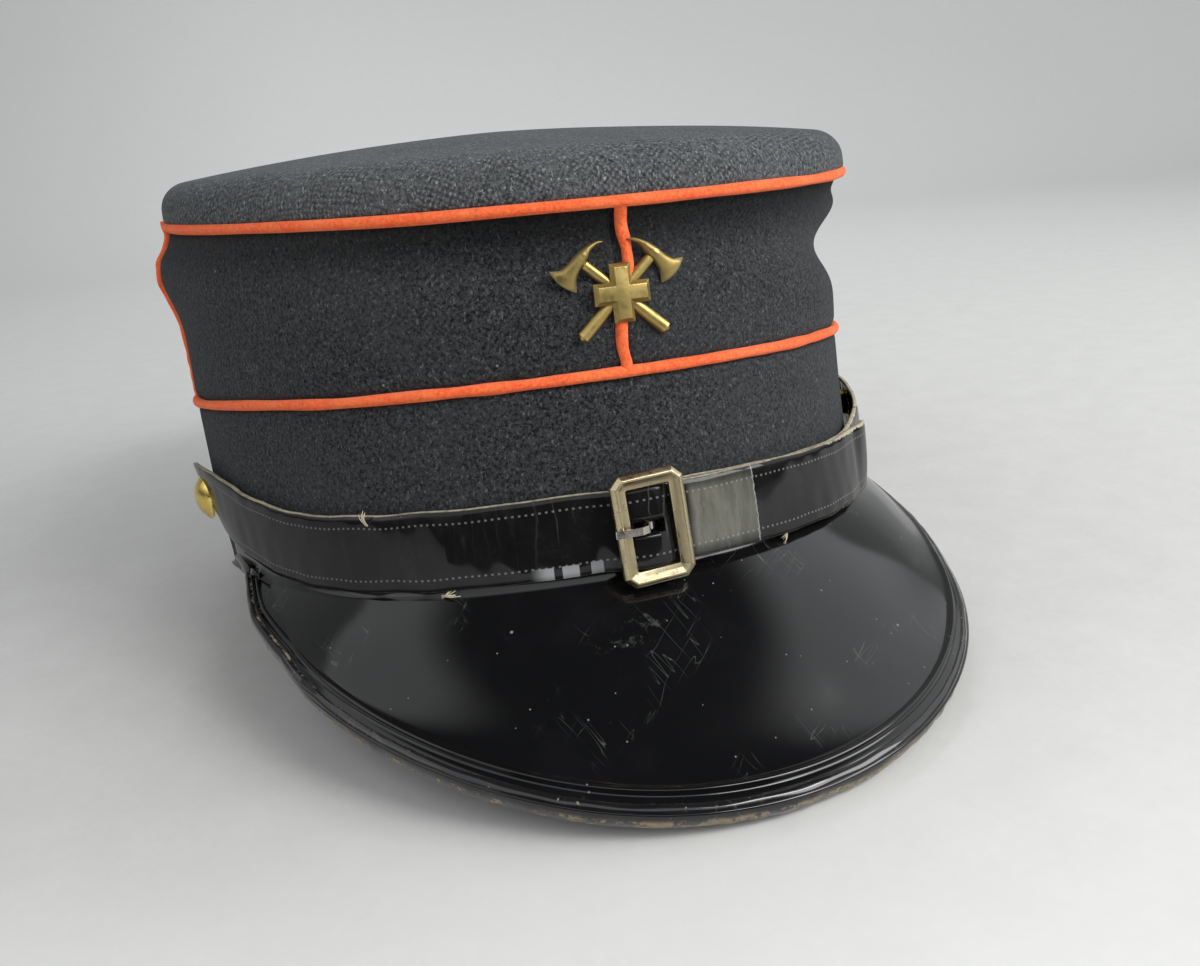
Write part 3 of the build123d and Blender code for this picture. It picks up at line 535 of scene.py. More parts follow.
def peak_binding():
    """A leather strip folded over the rim, stitched through near its inner edge and battered outside."""
    angles = peak_angles(900)
    _, _, bound = peak_shape(angles)
    rough = Ripple(21, 10, 0.9)
    finer = Ripple(22, 12, 3.0)
    scale = (bound / BINDING_PATTERN)[:, None]
    top = [(7.4, 0.45), (7.3, 0.75), (7.0, 0.95), (6.6, 1.05), (6.1, 1.1), (5.9, 1.12), (5.6, 1.2),
           (5.2, 1.4), (4.6, 1.62), (3.8, 1.72), (3.0, 1.72), (2.2, 1.62), (1.5, 1.42), (0.8, 1.1),
           (0.2, 0.7), (-0.3, 0.2), (-0.6, -0.35), (-0.75, -0.9), (-0.8, -1.4), (-0.75, -1.9),
           (-0.55, -2.3), (-0.2, -2.6), (0.3, -2.8), (1.5, -2.9), (4.0, -2.9), (6.8, -2.9),
           (7.3, -2.8), (7.35, -2.6)]
    inner = [(3.6, -2.5), (0.25, -2.45), (0.2, -1.3), (0.25, 0.02), (3.5, 0.1)]
    corners = np.array(top + inner)
    worn = ease(angles, 8, 60)
    from_rim = corners[None, :, 0] * scale
    lift = np.tile(corners[None, :, 1], (len(angles), 1))
    outer_part = np.concatenate([np.ones(len(top)), np.zeros(len(inner))])[None, :]
    edge = hump(corners[:, 0], -0.6, 1.0)[None, :] * outer_part
    reach = along(angles)[:, None]
    from_rim = from_rim + edge * (0.07 * rough(reach) + (0.05 + 0.13 * worn[:, None]) * finer(reach, 1))
    uneven = 0.04 * rough(reach * 1.3, corners[None, :, 0] * 1.4)
    lift = lift + outer_part * (corners[None, :, 1] > -0.2) * uneven
    sections = peak_point(angles[:, None], from_rim, lift)
    uv = np.stack(np.broadcast_arrays(reach * 1.25, girth_of(corners)[None, :]), -1)
    return tube("peak_binding_strip", sections, False, uv)


# ---- Chin strap
FRONT_RADIUS = END_RADIUS + BAR_PROUD
STRAP_MIDDLE = STRAP_LOW + STRAP_WIDTH / 2
HUMP_BACK = BAR_PROUD + LOOP_RADIUS + 0.1     # where the strap's back passes over the bar
TONGUE_BACK = STRAP_BACK + 1.9
TONGUE_END = 56.0            # angles of the ends
STRAP_END = 87.0
TONGUE_SPRING = 1.5
DIP_LEFT, DIP_RIGHT = 1.0, 1.3        # beside the buckle
FOLD_LEATHER = 0.7           # the shorter strap is skived where it turns back
FOLD_LIES = STRAP_BACK + 1.1
PRONG_WIDTH = 1.5
SLOT_LENGTH = 6.4
SLOT_CLEAR = 0.6             # beside the prong
SLOT_DEPTH = 8.0


def turned_by(length):
    """Degrees round the front of the cap for a length along the strap."""
    return math.degrees(length / FRONT_RADIUS)


def strap_middle(angle):
    """Height of the strap's middle: it climbs to the buttons and dips a little beside the buckle."""
    size = np.abs(angle)
    climb = (BUTTON_HEIGHT - STRAP_MIDDLE) * ease(size, 52, BUTTON_ANGLE)
    dip = np.where(angle < 0, DIP_LEFT * hump(angle, -46, 28), DIP_RIGHT * hump(angle, 46, 26))
    return STRAP_MIDDLE + climb - dip * ease(size, BUTTON_ANGLE, 60)


def strap_half(angle):
    """Half its width, drawn in to a blunt point at a button end."""
    return STRAP_WIDTH / 2 * (1 - 0.62 * ease(np.abs(angle), STRAP_END - 4.5, STRAP_END))


def tongue_back(angle):
    """How far the tongue's back stands out: over the bar, then over the other strap, then springing free."""
    after = TONGUE_BACK + (HUMP_BACK - TONGUE_BACK) * (1 - ease(angle, turned_by(1.6), turned_by(6.0)))
    after = after - 0.6 * ease(angle, turned_by(14.0), turned_by(22.0))
    before = STRAP_BACK + (HUMP_BACK - STRAP_BACK) * (1 - ease(-angle, turned_by(1.6), turned_by(13.0)))
    return np.where(angle < 0, before, after) + TONGUE_SPRING * ease(angle, 50, TONGUE_END)


def strap_corners(half, thickness, bow):
    """A strap's section: (across, out) from the back's lower corner round its worn, rounded edges."""
    across = np.linspace(-1, 1, 15)
    face = [(a * half, thickness + bow * (1 - a * a)) for a in across]
    back = [(a * half, bow * (1 - a * a)) for a in across[::-1]]
    soft = 0.22
    face[0] = (face[0][0] + soft * 0.5, face[0][1] - soft * 0.3)
    face[-1] = (face[-1][0] - soft * 0.5, face[-1][1] - soft * 0.3)
    low = [(-half, thickness * 0.25), (-half, thickness * 0.72)]
    high = [(half, thickness * 0.72), (half, thickness * 0.25)]
    return low + face + high + back


def strap_piece(name, stations, back_of, thickness_of, lean_of, seed):
    """A strap through these angles; lean_of turns its top edge outwards, in mm over half its width."""
    rough = Ripple(seed, 8, 0.5)
    sections, layout = [], []
    for angle, length in zip(stations, along(stations)):
        half = float(strap_half(angle))
        thickness = float(thickness_of(angle))
        corners = np.array(strap_corners(half, thickness, 0.25))
        middle = float(strap_middle(angle))
        uneven = 0.10 * rough(length) * np.sign(corners[:, 0])
        tip = float(lean_of(angle)) * corners[:, 0] / (STRAP_WIDTH / 2)
        crease_and_painted_shade = 0.06 * rough(length * 2.2, corners[:, 0] * 0.7)
        proud = float(back_of(angle)) + corners[:, 1] + tip + crease_and_painted_shade
        sections.append(wall(angle, middle + corners[:, 0] + uneven, proud))
        layout.append(np.stack([np.full(len(corners), length), corners[:, 0]], -1))
    return tube(name, np.array(sections), False, np.array(layout))


def with_slot(piece):
    """Cuts the prong's slot through a strap."""
    middle, half_length, half_width = -PRONG_WIDTH * 0.35, SLOT_LENGTH / 2, PRONG_WIDTH / 2 + SLOT_CLEAR
    corners = [(middle + a * half_length, b * half_width, c * SLOT_DEPTH) for c in (-1, 1)
               for a, b in ((-1, -1), (1, -1), (1, 1), (-1, 1))]
    cutter = add_mesh("slot_cutter", upright_front(corners, BAR_PROUD, STRAP_MIDDLE), BOX_SIDES, smooth=False)
    cut = piece.modifiers.new("slot", "BOOLEAN")
    cut.operation = "DIFFERENCE"
    cut.object = cutter
    cut.solver = "EXACT"
    shown = piece.evaluated_get(bpy.context.evaluated_depsgraph_get())
    slotted = bpy.data.meshes.new_from_object(shown)
    piece.modifiers.clear()
    piece.data = slotted
    bpy.data.objects.remove(cutter, do_unlink=True)
    return piece


def strap_long():
    """From one button through the buckle to its tongue, in fine steps where it humps over the bar."""
    stations = np.concatenate([np.linspace(-STRAP_END, -12, 150), np.linspace(-12, 18, 150)[1:],
                               np.linspace(18, TONGUE_END, 90)[1:]])

    def lean_of(angle):
        at_ends = 2.0 * ease(-angle, 66, 86) + 0.5 * ease(angle, 50, TONGUE_END)
        return at_ends - 0.45 * ease(np.abs(angle), 62, 40)

    return strap_piece("chin_strap_outer", stations, tongue_back, lambda angle: STRAP_LEATHER, lean_of, 31)


def strap_short():
    """From the other button to its fold, under the long strap."""
    stations = np.concatenate([np.linspace(0.2, 14, 60), np.linspace(14, STRAP_END, 150)[1:]])

    def back_of(angle):
        return STRAP_BACK + 1.6 * ease(angle, 54, 66) * ease(angle, 87, 78)

    def thickness_of(angle):
        return FOLD_LEATHER + 0.25 * ease(angle, 2, 6)

    return strap_piece("chin_strap_inner", stations, back_of, thickness_of, lambda angle: 0.0, 32)


def strap_fold():
    """The end of the shorter strap, turned back over the buckle's bar."""
    half = FOLD_LEATHER / 2
    reach = LOOP_RADIUS - half
    lies = FOLD_LIES + half
    climb = BAR_PROUD + reach - lies
    path = [(u, lies + climb * float(1 - ease(u, 0.0, 5.5))) for u in np.linspace(12.0, 0.2, 40)]
    for turn in np.radians(np.linspace(90, 270, 24)):
        path.append((reach * math.cos(turn), BAR_PROUD + reach * math.sin(turn)))
    path = np.array(path)
    ahead = np.gradient(path, axis=0)
    ahead /= np.linalg.norm(ahead, axis=-1, keepdims=True)
    normal = np.stack([-ahead[:, 1], ahead[:, 0]], -1)
    across = np.linspace(-1, 1, 9) * (STRAP_WIDTH / 2 - 0.15)
    corners = [(a, -half) for a in across] + [(a, half) for a in across[::-1]]
    sections, layout = [], []
    for (u, w), side in zip(path, normal):
        ring = [wall(math.degrees((u + side[0] * out) / FRONT_RADIUS), STRAP_MIDDLE + a, w + side[1] * out)
                for a, out in corners]
        sections.append(ring)
        layout.append([(u, a) for a, _ in corners])
    return tube("chin_strap_fold", np.array(sections), False, np.array(layout))


# ---- Buckle and badge
BUCKLE_WIDTH = 15.0
BUCKLE_HEIGHT = 22.6
BUCKLE_CORNER = 2.0
BUCKLE_LEAN = math.radians(3.2)
BUCKLE_BACK = 2.4            # over the bar
BUCKLE_LUG = 9.7             # where the frame reaches back to the bar, above and below
BADGE_HEIGHT = 58.6
BADGE_PROUD = 1.1
AXE_LEAN = math.radians(48.0)
AXE_THICKNESS = 1.2
HANDLE_FOOT = -11.9
HANDLE_TOP = 9.4
CROSS_SPAN = 11.3
CROSS_ARM = 4.0
CROSS_CORNERS = 12


def crisp(piece, edge, keep=30.0):
    """Gives a cast or stamped piece its fine rounded edges."""
    piece.data.set_sharp_from_angle(angle=math.radians(keep))
    rounding = piece.modifiers.new("worn_edges", "BEVEL")
    rounding.width = edge * MM
    rounding.segments = 2
    rounding.limit_method = "ANGLE"
    rounding.angle_limit = math.radians(keep)
    rounding.harden_normals = True
    return piece


def frame_outline(inset):
    """The buckle's outline, moved inwards: an oblong with cut corners."""
    x, y = BUCKLE_WIDTH / 2 - inset, BUCKLE_HEIGHT / 2 - inset
    cut = BUCKLE_CORNER - inset * (2 - math.sqrt(2))
    return [(x - cut, y), (cut - x, y), (-x, y - cut), (-x, cut - y),
            (cut - x, -y), (x - cut, -y), (x, cut - y), (x, y - cut)]


def buckle_frame_piece():
    """A stamped frame: a steep outer face, a ridge, and a long hollow slope down to the opening."""
    profile = [(0.0, 0.0), (0.0, 0.95), (0.15, 1.2), (0.65, 1.72), (0.9, 1.88), (1.2, 1.84), (1.5, 1.62),
               (2.1, 1.22), (2.7, 0.98), (3.0, 0.85), (3.0, 0.0)]
    sine, cosine = math.sin(BUCKLE_LEAN), math.cos(BUCKLE_LEAN)
    turn = np.array([[cosine, sine], [-sine, cosine]])
    points, faces = [], []
    for inset, rise in profile:
        for corner in frame_outline(inset):
            x, y = np.array(corner) @ turn
            points.append((x, y, BUCKLE_BACK + rise))
    rings, corners = len(profile), 8
    for r in range(rings):
        for c in range(corners):
            s, d = (r + 1) % rings, (c + 1) % corners
            faces.append([r * corners + c, r * corners + d, s * corners + d, s * corners + c])
    for end in (-1, 1):
        base = len(points)
        for z in (-0.6, BUCKLE_BACK + 0.3):
            outline = ((-1.2, -1.0), (1.2, -1.0), (1.2, 1.0), (-1.2, 1.0))
            points += [(x, end * BUCKLE_LUG + y, z) for x, y in outline]
        faces += [[base + k for k in side] for side in BOX_SIDES]
    made = add_mesh("buckle_frame_stamped", upright_front(points, BAR_PROUD, STRAP_MIDDLE), faces)
    return crisp(made, 0.12, 20.0)


def smooth_line(stations, count):
    """A smooth line through a few points."""
    known = np.asarray(stations, float)
    ends = np.concatenate([[2 * known[0] - known[1]], known, [2 * known[-1] - known[-2]]])
    line = []
    for t in np.linspace(0, len(known) - 1 - 1e-9, count):
        k, f = int(t), t - int(t)
        a, b, c, d = ends[k:k + 4]
        bent = (2 * a - 5 * b + 4 * c - d) * f**2 + (3 * b - a - 3 * c + d) * f**3
        line.append(0.5 * (2 * b + (c - a) * f + bent))
    return np.array(line)


def crowned_strip(points, faces, upper, lower, crown, bow=None):
    """A strip between two lines, flat below and crowned above; crown is its height at each station."""
    count, across = len(upper), 11
    base = len(points)
    for k in range(count):
        for j, v in enumerate(np.linspace(0, 1, across)):
            spot = lower[k] + (upper[k] - lower[k]) * v
            if bow is not None:
                spot = spot + bow[k] * (1 - (2 * v - 1) ** 2)
            swell = math.sqrt(max(0.0, 1 - (2 * v - 1) ** 2))
            points.append((spot[0], spot[1], 0.25 + (crown[k] - 0.25) * swell))
    for k in range(count):
        points.append((lower[k][0], lower[k][1], 0.0))
        points.append((upper[k][0], upper[k][1], 0.0))
    flat = base + count * across
    for k in range(count - 1):
        for j in range(across - 1):
            a = base + k * across + j
            faces.append([a, a + across, a + across + 1, a + 1])
        a, b = base + k * across, base + (k + 1) * across
        faces.append([flat + 2 * k, flat + 2 * k + 2, b, a])
        faces.append([a + across - 1, b + across - 1, flat + 2 * k + 3, flat + 2 * k + 1])
        faces.append([flat + 2 * k, flat + 2 * k + 1, flat + 2 * k + 3, flat + 2 * k + 2])
    first = [base + j for j in range(across)]
    last = [base + (count - 1) * across + j for j in range(across)]
    faces.append([flat] + first + [flat + 1])
    faces.append(([flat + 2 * count - 2] + last + [flat + 2 * count - 1])[::-1])


def axe_piece(name, hand):
    """An axe with a half-round handle and a crowned head, leaning to one hand (-1 is towards -X)."""
    points, faces = [], []
    rise = np.linspace(0, 1, 40)
    reach = HANDLE_FOOT + (HANDLE_TOP - HANDLE_FOOT) * rise
    half = 1.32 - 0.30 * rise
    ends = np.minimum(1, np.sqrt(np.clip(np.minimum(reach - HANDLE_FOOT, HANDLE_TOP - reach) / 0.5, 0.12, 1)))
    upper = np.stack([half * ends, reach], -1)
    lower = np.stack([-half * ends, reach], -1)
    thin = 1 - 0.45 * hump(reach, 0, 1.9) * (hand < 0)
    crowned_strip(points, faces, lower, upper, 1.30 * thin * (0.4 + 0.6 * ends))
    edge_high = smooth_line([(5.8, 8.55), (4.9, 9.6), (3.2, 10.55), (1.4, 11.15),
                             (-0.3, 11.45), (-2.0, 11.6), (-3.7, 12.2), (-5.0, 13.6)], 48)
    edge_low = smooth_line([(5.7, 8.35), (4.5, 9.05), (2.9, 9.35), (1.4, 9.0),
                            (-0.3, 8.9), (-1.8, 8.85), (-3.3, 8.35), (-5.0, 7.05)], 48)
    t = np.linspace(0, 1, 48)
    crown = np.interp(t, [0, 0.12, 0.45, 0.6, 0.9, 1], [0.4, 0.75, 1.55, 1.45, 0.8, 0.45])
    bow = np.stack([-0.85 * ease(t, 0.75, 1.0), 0 * t], -1)
    crowned_strip(points, faces, edge_high, edge_low, crown, bow)
    turned = []
    for x, y, z in points:
        across = x * math.cos(AXE_LEAN) - y * math.sin(AXE_LEAN)
        up = x * math.sin(AXE_LEAN) + y * math.cos(AXE_LEAN)
        turned.append((-hand * across, up, z))
    if hand > 0:
        faces = [face[::-1] for face in faces]
    made = add_mesh(name, upright_front(turned, BADGE_PROUD, BADGE_HEIGHT), faces)
    made.data.set_sharp_from_angle(angle=math.radians(42))
    return made


def cross_piece():
    """A cross whose edges slope up to a raised plate."""
    profile = [(0.0, 0.0), (0.0, 0.35), (0.12, 0.5), (0.62, 0.92), (0.78, 1.14), (1.05, 1.2)]
    points = []
    for inset, rise in profile:
        a, s = CROSS_ARM / 2 + 0.12 - inset, CROSS_SPAN / 2 - inset
        outline = [(a, s), (a, a), (s, a), (s, -a), (a, -a), (a, -s),
                   (-a, -s), (-a, -a), (-s, -a), (-s, a), (-a, a), (-a, s)]
        points += [(x, y, AXE_THICKNESS - 0.15 + rise) for x, y in outline]
    count = CROSS_CORNERS
    around_it = quads(len(profile), count, True)[:, [1, 0, 3, 2]]
    last = (len(profile) - 1) * count
    faces = around_it.tolist() + [[last + c for c in range(count)][::-1], list(range(count))]
    made = add_mesh("badge_cross_raised", upright_front(points, BADGE_PROUD, BADGE_HEIGHT), faces)
    return crisp(made, 0.13, 24.0)


# ---- Threads and sweatband
THREADS_IN_TUFT = 7
THREAD_STEPS = 7
THREAD_CORNERS = 5
SWEATBAND_HEIGHT = 38.0
PIN_ROOM = 2.6               # beside the buttons' split pins


def thread_tuft(name, spots):
    """Short ends of tacking thread: each spot is (angle, height, outward, reach, tilt in degrees)."""
    chance = np.random.RandomState(5)
    points, faces = [], []
    for angle, height, proud, reach, tilt in spots:
        for _ in range(THREADS_IN_TUFT):
            turn = math.radians(tilt + chance.uniform(-22, 22))
            length = reach * chance.uniform(0.55, 1.0)
            start = wall(angle + chance.uniform(-0.25, 0.25), height + chance.uniform(-0.2, 0.2), proud)
            outward = outward_at(np.array(angle))
            sideways = np.array([-outward[1], outward[0], 0.0])
            heading = sideways * math.cos(turn) + np.array([0, 0, 1.0]) * math.sin(turn)
            bend = chance.uniform(-0.5, 0.5)
            centre = [start + heading * length * t + outward * (0.25 + 0.5 * math.sin(math.pi * t)) +
                      sideways * bend * t * t for t in np.linspace(-0.35, 1, THREAD_STEPS)]
            thin = 0.13 * chance.uniform(0.7, 1.2)
            base = len(points)
            across = np.cross(heading, outward)
            for t, place in enumerate(centre):
                size = thin * (1 - 0.5 * (t / 6) ** 2)
                for k in range(THREAD_CORNERS):
                    a = WHOLE_TURN * k / THREAD_CORNERS
                    points.append(place + size * (math.cos(a) * outward + math.sin(a) * across))
            faces += quads(THREAD_STEPS, THREAD_CORNERS, True, base).tolist()
            faces.append(list(range(base, base + THREAD_CORNERS))[::-1])
            faces.append(list(range(len(points) - THREAD_CORNERS, len(points))))
    return add_mesh(name, points, faces)


def sweatband_piece():
    """A leather band inside the head opening, drawn in a little towards its free edge."""
    angles = np.linspace(-180, 180, 540, endpoint=False)
    high = SWEATBAND_HEIGHT
    share = np.linspace(0, 1, 22)
    outer = [(-4.4 - 3.1 * s, 0.5 + (high - 0.5) * s) for s in share]
    inner = [(-5.5 - 3.1 * s, 0.05 + (high - 0.05) * s) for s in share[::-1]]
    corners = [(-1.7, 0.05), (-1.7, 0.5)] + outer + inner
    wavy = Ripple(41, 6, 0.06)
    beside_button = hump(angles, BUTTON_ANGLE, 9) + hump(angles, -BUTTON_ANGLE, 9)
    sections = []
    for proud, height in corners:
        room = PIN_ROOM * beside_button * hump(height, BUTTON_HEIGHT, 10)
        sections.append(wall(angles, height, proud - room + 0.5 * (height / high) * wavy(along(angles))))
    sections = np.swapaxes(np.array(sections), 0, 1)
    uv = np.stack(np.broadcast_arrays(along(angles)[:, None], girth_of(corners)[None, :]), -1)
    return tube("sweatband_leather", sections, True, uv)


# ---- Materials
WEAVE_PITCH = 1.5            # mm between every second yarn
SCUFF_X, SCUFF_Y = -8.0, -101.0       # on the peak, in mm in the row frame
SCUFF_HALF_WIDTH, SCUFF_HALF_LENGTH = 10.0, 3.6
STITCH_BINDING, STITCH_SWEATBAND, STITCH_STRAP = 2.3, 3.2, 1.3        # mm from stitch to stitch
STITCH_INSET = 2.6           # of the strap's stitch lines from its edges
STRAP_SPLIT = 24.0           # mm round from the front, where the lacquer has split


class Value:
    """A socket inside a material, which works in sums."""

    def __init__(self, paint, socket):
        self.paint = paint
        self.socket = socket

    def __add__(self, other):
        return self.paint.maths("ADD", self, other)

    def __sub__(self, other):
        return self.paint.maths("SUBTRACT", self, other)

    def __mul__(self, other):
        return self.paint.maths("MULTIPLY", self, other)

    def __truediv__(self, other):
        return self.paint.maths("DIVIDE", self, other)

    def __rsub__(self, other):
        return self.paint.maths("SUBTRACT", other, self)

    def __rtruediv__(self, other):
        return self.paint.maths("DIVIDE", other, self)

    __radd__ = __add__
    __rmul__ = __mul__

    def __abs__(self):
        return self.paint.maths("ABSOLUTE", self)


class Paint:
    """A material under construction, with one surface shader."""

    def __init__(self, name, **fixed):
        self.material = bpy.data.materials.new(name)
        self.material.use_nodes = True
        self.tree = self.material.node_tree
        self.tree.nodes.clear()
        self.shader = self.tree.nodes.new("ShaderNodeBsdfPrincipled")
        output = self.tree.nodes.new("ShaderNodeOutputMaterial")
        self.tree.links.new(self.shader.outputs[0], output.inputs[0])
        for socket, value in fixed.items():
            self.shader.inputs[socket.replace("_", " ").title().replace("Ior", "IOR")].default_value = value

    def add(self, kind, settings=None, values=None, output=0):
        """A node of this kind: its settings, its sockets' values or links, and which output is wanted."""
        node = self.tree.nodes.new("ShaderNode" + kind)
        for key, value in (settings or {}).items():
            setattr(node, key, value)
        for key, value in (values or {}).items():
            if isinstance(value, Value):
                self.tree.links.new(value.socket, node.inputs[key])
            else:
                node.inputs[key].default_value = value
        return Value(self, node.outputs[output])

    def maths(self, operation, *values):
        return self.add("Math", {"operation": operation}, dict(enumerate(values)))

    def smallest(self, a, b):
        return self.maths("MINIMUM", a, b)

    def largest(self, a, b):
        return self.maths("MAXIMUM", a, b)

    def wave(self, place, length):
        """-1 to 1 and back, once in each length."""
        return self.maths("SINE", place * (WHOLE_TURN / length))

    def parts(self, vector):
        """The first two parts of a vector."""
        return self.part_of(vector, 0), self.part_of(vector, 1)

    def place(self):
        """Where a point is, in mm in the row frame."""
        spot = self.add("TexCoord", output="Object")
        return self.add("VectorMath", {"operation": "SCALE"}, {0: spot, "Scale": 1000.0})

    def cloth_place(self):
        """Where a point lies on the flat piece before it was bent, in mm."""
        spot = self.add("TexCoord", output="UV")
        return self.add("VectorMath", {"operation": "SCALE"}, {0: spot, "Scale": 100.0})

    def part_of(self, vector, axis):
        return self.add("SeparateXYZ", None, {0: vector}, axis)

    def joined(self, x, y, z=0.0):
        return self.add("CombineXYZ", None, {0: x, 1: y, 2: z})

    def stretched(self, vector, x, y, z):
        """The vector with its parts scaled one by one."""
        return self.add("VectorMath", {"operation": "MULTIPLY"}, {0: vector, 1: (x, y, z)})

    def noise(self, vector, size, detail=2.0, rough=0.5, warp=0.0):
        """Cloudy unevenness whose patches are about size mm across."""
        values = {"Vector": vector, "Scale": 1.0 / size, "Detail": detail, "Roughness": rough}
        return self.add("TexNoise", None, {**values, "Distortion": warp})

    def cells(self, vector, size, feature="F1", output="Distance"):
        """Irregular cells of about this size."""
        return self.add("TexVoronoi", {"feature": feature}, {"Vector": vector, "Scale": 1.0 / size}, output)

    def step(self, value, low, high, to_low=0.0, to_high=1.0):
        """A smooth climb from to_low to to_high as value goes from low to high."""
        values = {0: value, 1: low, 2: high, 3: to_low, 4: to_high}
        return self.add("MapRange", {"interpolation_type": "SMOOTHSTEP"}, values)

    def blend(self, factor, a, b):
        """From colour a, at 0, to colour b, at 1."""
        return self.add("Mix", {"data_type": "RGBA"}, {0: factor, 6: colour(a), 7: colour(b)}, 2)

    def bump(self, height, depth, strength=1.0, under=None):
        """A normal from a height of 0 to 1 that stands for depth mm."""
        values = {"Height": height, "Distance": depth * MM, "Strength": strength}
        if under is not None:
            values["Normal"] = under
        return self.add("Bump", None, values)

    def set(self, socket, value):
        """Links or sets one of the surface shader's sockets."""
        if isinstance(value, Value):
            self.tree.links.new(value.socket, self.shader.inputs[socket])
        else:
            self.shader.inputs[socket].default_value = colour(value)
        return self


def colour(value):
    """A colour's three numbers with the fourth that a socket wants; anything else as it is."""
    return (*value, 1.0) if isinstance(value, tuple) and len(value) == 3 else value


def wool(name, weave_shows, tone_and_painted_light):
    """Dark felted wool: a hopsack weave under a short nap with paler fibres in it, and painted shade just
    under the crown's seam.
    """
    paint = Paint(name, roughness=0.92, sheen_weight=0.08, sheen_roughness=0.5,
                  sheen_tint=(0.9, 0.95, 1.0, 1.0), specular_ior_level=0.1)
    spot = paint.place()
    u, v = paint.parts(paint.cloth_place())
    wander = paint.noise(spot, 2.4, 3.0)
    over = paint.wave(u + wander * 0.8, WEAVE_PITCH)
    under = paint.wave(v + wander * 0.6, WEAVE_PITCH)
    yarn = over * under * 0.5 + 0.5
    bare = paint.step(paint.noise(spot, 11.0, 3.0, 0.6), 0.40, 0.60) * weave_shows
    bare = bare * paint.step(v, 26.0, 8.0)
    nap = paint.step(paint.noise(spot, 0.8, 4.0, 0.85), 0.36, 0.66)
    tufts = paint.noise(spot, 2.0, 3.0, 0.65, 0.8)
    fibres = paint.noise(paint.stretched(spot, 1.0, 1.0, 0.6), 0.55, 3.0, 0.7)
    pale = paint.step(fibres, 0.56, 0.70)
    worn = paint.step(paint.noise(spot, 30.0, 3.0, 0.55), 0.35, 0.68)
    # The cloth's tone; the crown's copy is set paler, painted light standing in for the light from above
    low, high = 0.12 * tone_and_painted_light, 1.9 * tone_and_painted_light
    dark = paint.blend(nap, (low * 0.9, low * 0.95, low * 1.15), (high * 0.94, high, high * 1.06))
    body = paint.blend(worn * 0.25, dark, (high * 0.9, high * 0.92, high * 0.9))
    woven = paint.blend(bare * (1 - yarn) * 0.6, body, (low * 0.3, low * 0.3, low * 0.3))
    crests = bare * paint.step(yarn, 0.55, 0.95) * 0.45
    woven = paint.blend(crests, woven, (high * 1.9, high * 1.95, high * 1.95))
    flecked = paint.blend(pale * 0.42, woven, (high * 4.2, high * 4.4, high * 4.5))
    # Painted shade: the cloth is darkened from 4.5 mm below the crown's seam up to it, fading out by 13 mm
    # below, more on the +X side, for the shadow in the crease under the piping
    crease_and_painted_shade = paint.step(v, -13.0, -4.5) * paint.step(v, 0.3, -0.3) * paint.step(u, -70.0, 0.0, 0.6, 0.9)
    flecked = paint.blend(crease_and_painted_shade * (1 - weave_shows), flecked, (low * 0.25, low * 0.25, low * 0.3))
    lint = dust(paint, spot, 7.5, 0.05)
    paint.set("Base Color", paint.blend(lint * 0.45, flecked, (0.40, 0.41, 0.41)))
    relief = nap * 0.35 + tufts * 0.45 + yarn * bare * 0.8
    paint.set("Normal", paint.bump(relief, 0.40, 0.9))
    return paint.material


def felt(name):
    """Orange-red felt, worn paler in patches and grubby in spots."""
    paint = Paint(name, roughness=0.85, sheen_weight=0.2, sheen_roughness=0.5,
                  sheen_tint=(1.0, 0.7, 0.55, 1.0), specular_ior_level=0.2)
    spot = paint.place()
    nap = paint.noise(spot, 0.7, 4.0, 0.8)
    patch = paint.noise(spot, 7.0, 3.0, 0.6)
    grub = paint.step(paint.noise(spot, 2.4, 4.0, 0.7), 0.56, 0.72)
    base = paint.blend(paint.step(nap, 0.3, 0.7), (0.90, 0.075, 0.018), (1.0, 0.21, 0.06))
    base = paint.blend(paint.step(patch, 0.4, 0.7) * 0.4, base, (1.0, 0.26, 0.09))
    paint.set("Base Color", paint.blend(grub * 0.35, base, (0.32, 0.04, 0.02)))
    paint.set("Normal", paint.bump(nap + paint.noise(spot, 1.3, 2.0) * 0.6, 0.45, 0.9))
    return paint.material


def dust(paint, spot, size, share):
    """Small specks, one in some of the cells of this size."""
    near = paint.cells(spot, size)
    chosen = paint.part_of(paint.cells(spot, size, output="Color"), 0)
    return paint.step(near, share, share * 0.5) * paint.step(chosen, 0.6, 0.62)


def scratches(paint, spot, turn, spacing):
    """Fine straight scratches that run one way."""
    c, s = math.cos(turn), math.sin(turn)
    x, y = paint.parts(spot)
    run = paint.joined((x * c + y * s) / 55.0, (y * c - x * s) / spacing)
    line = paint.noise(run, 1.0, 3.0, 0.65)
    return paint.step(abs(line - 0.5), 0.005, 0.0)


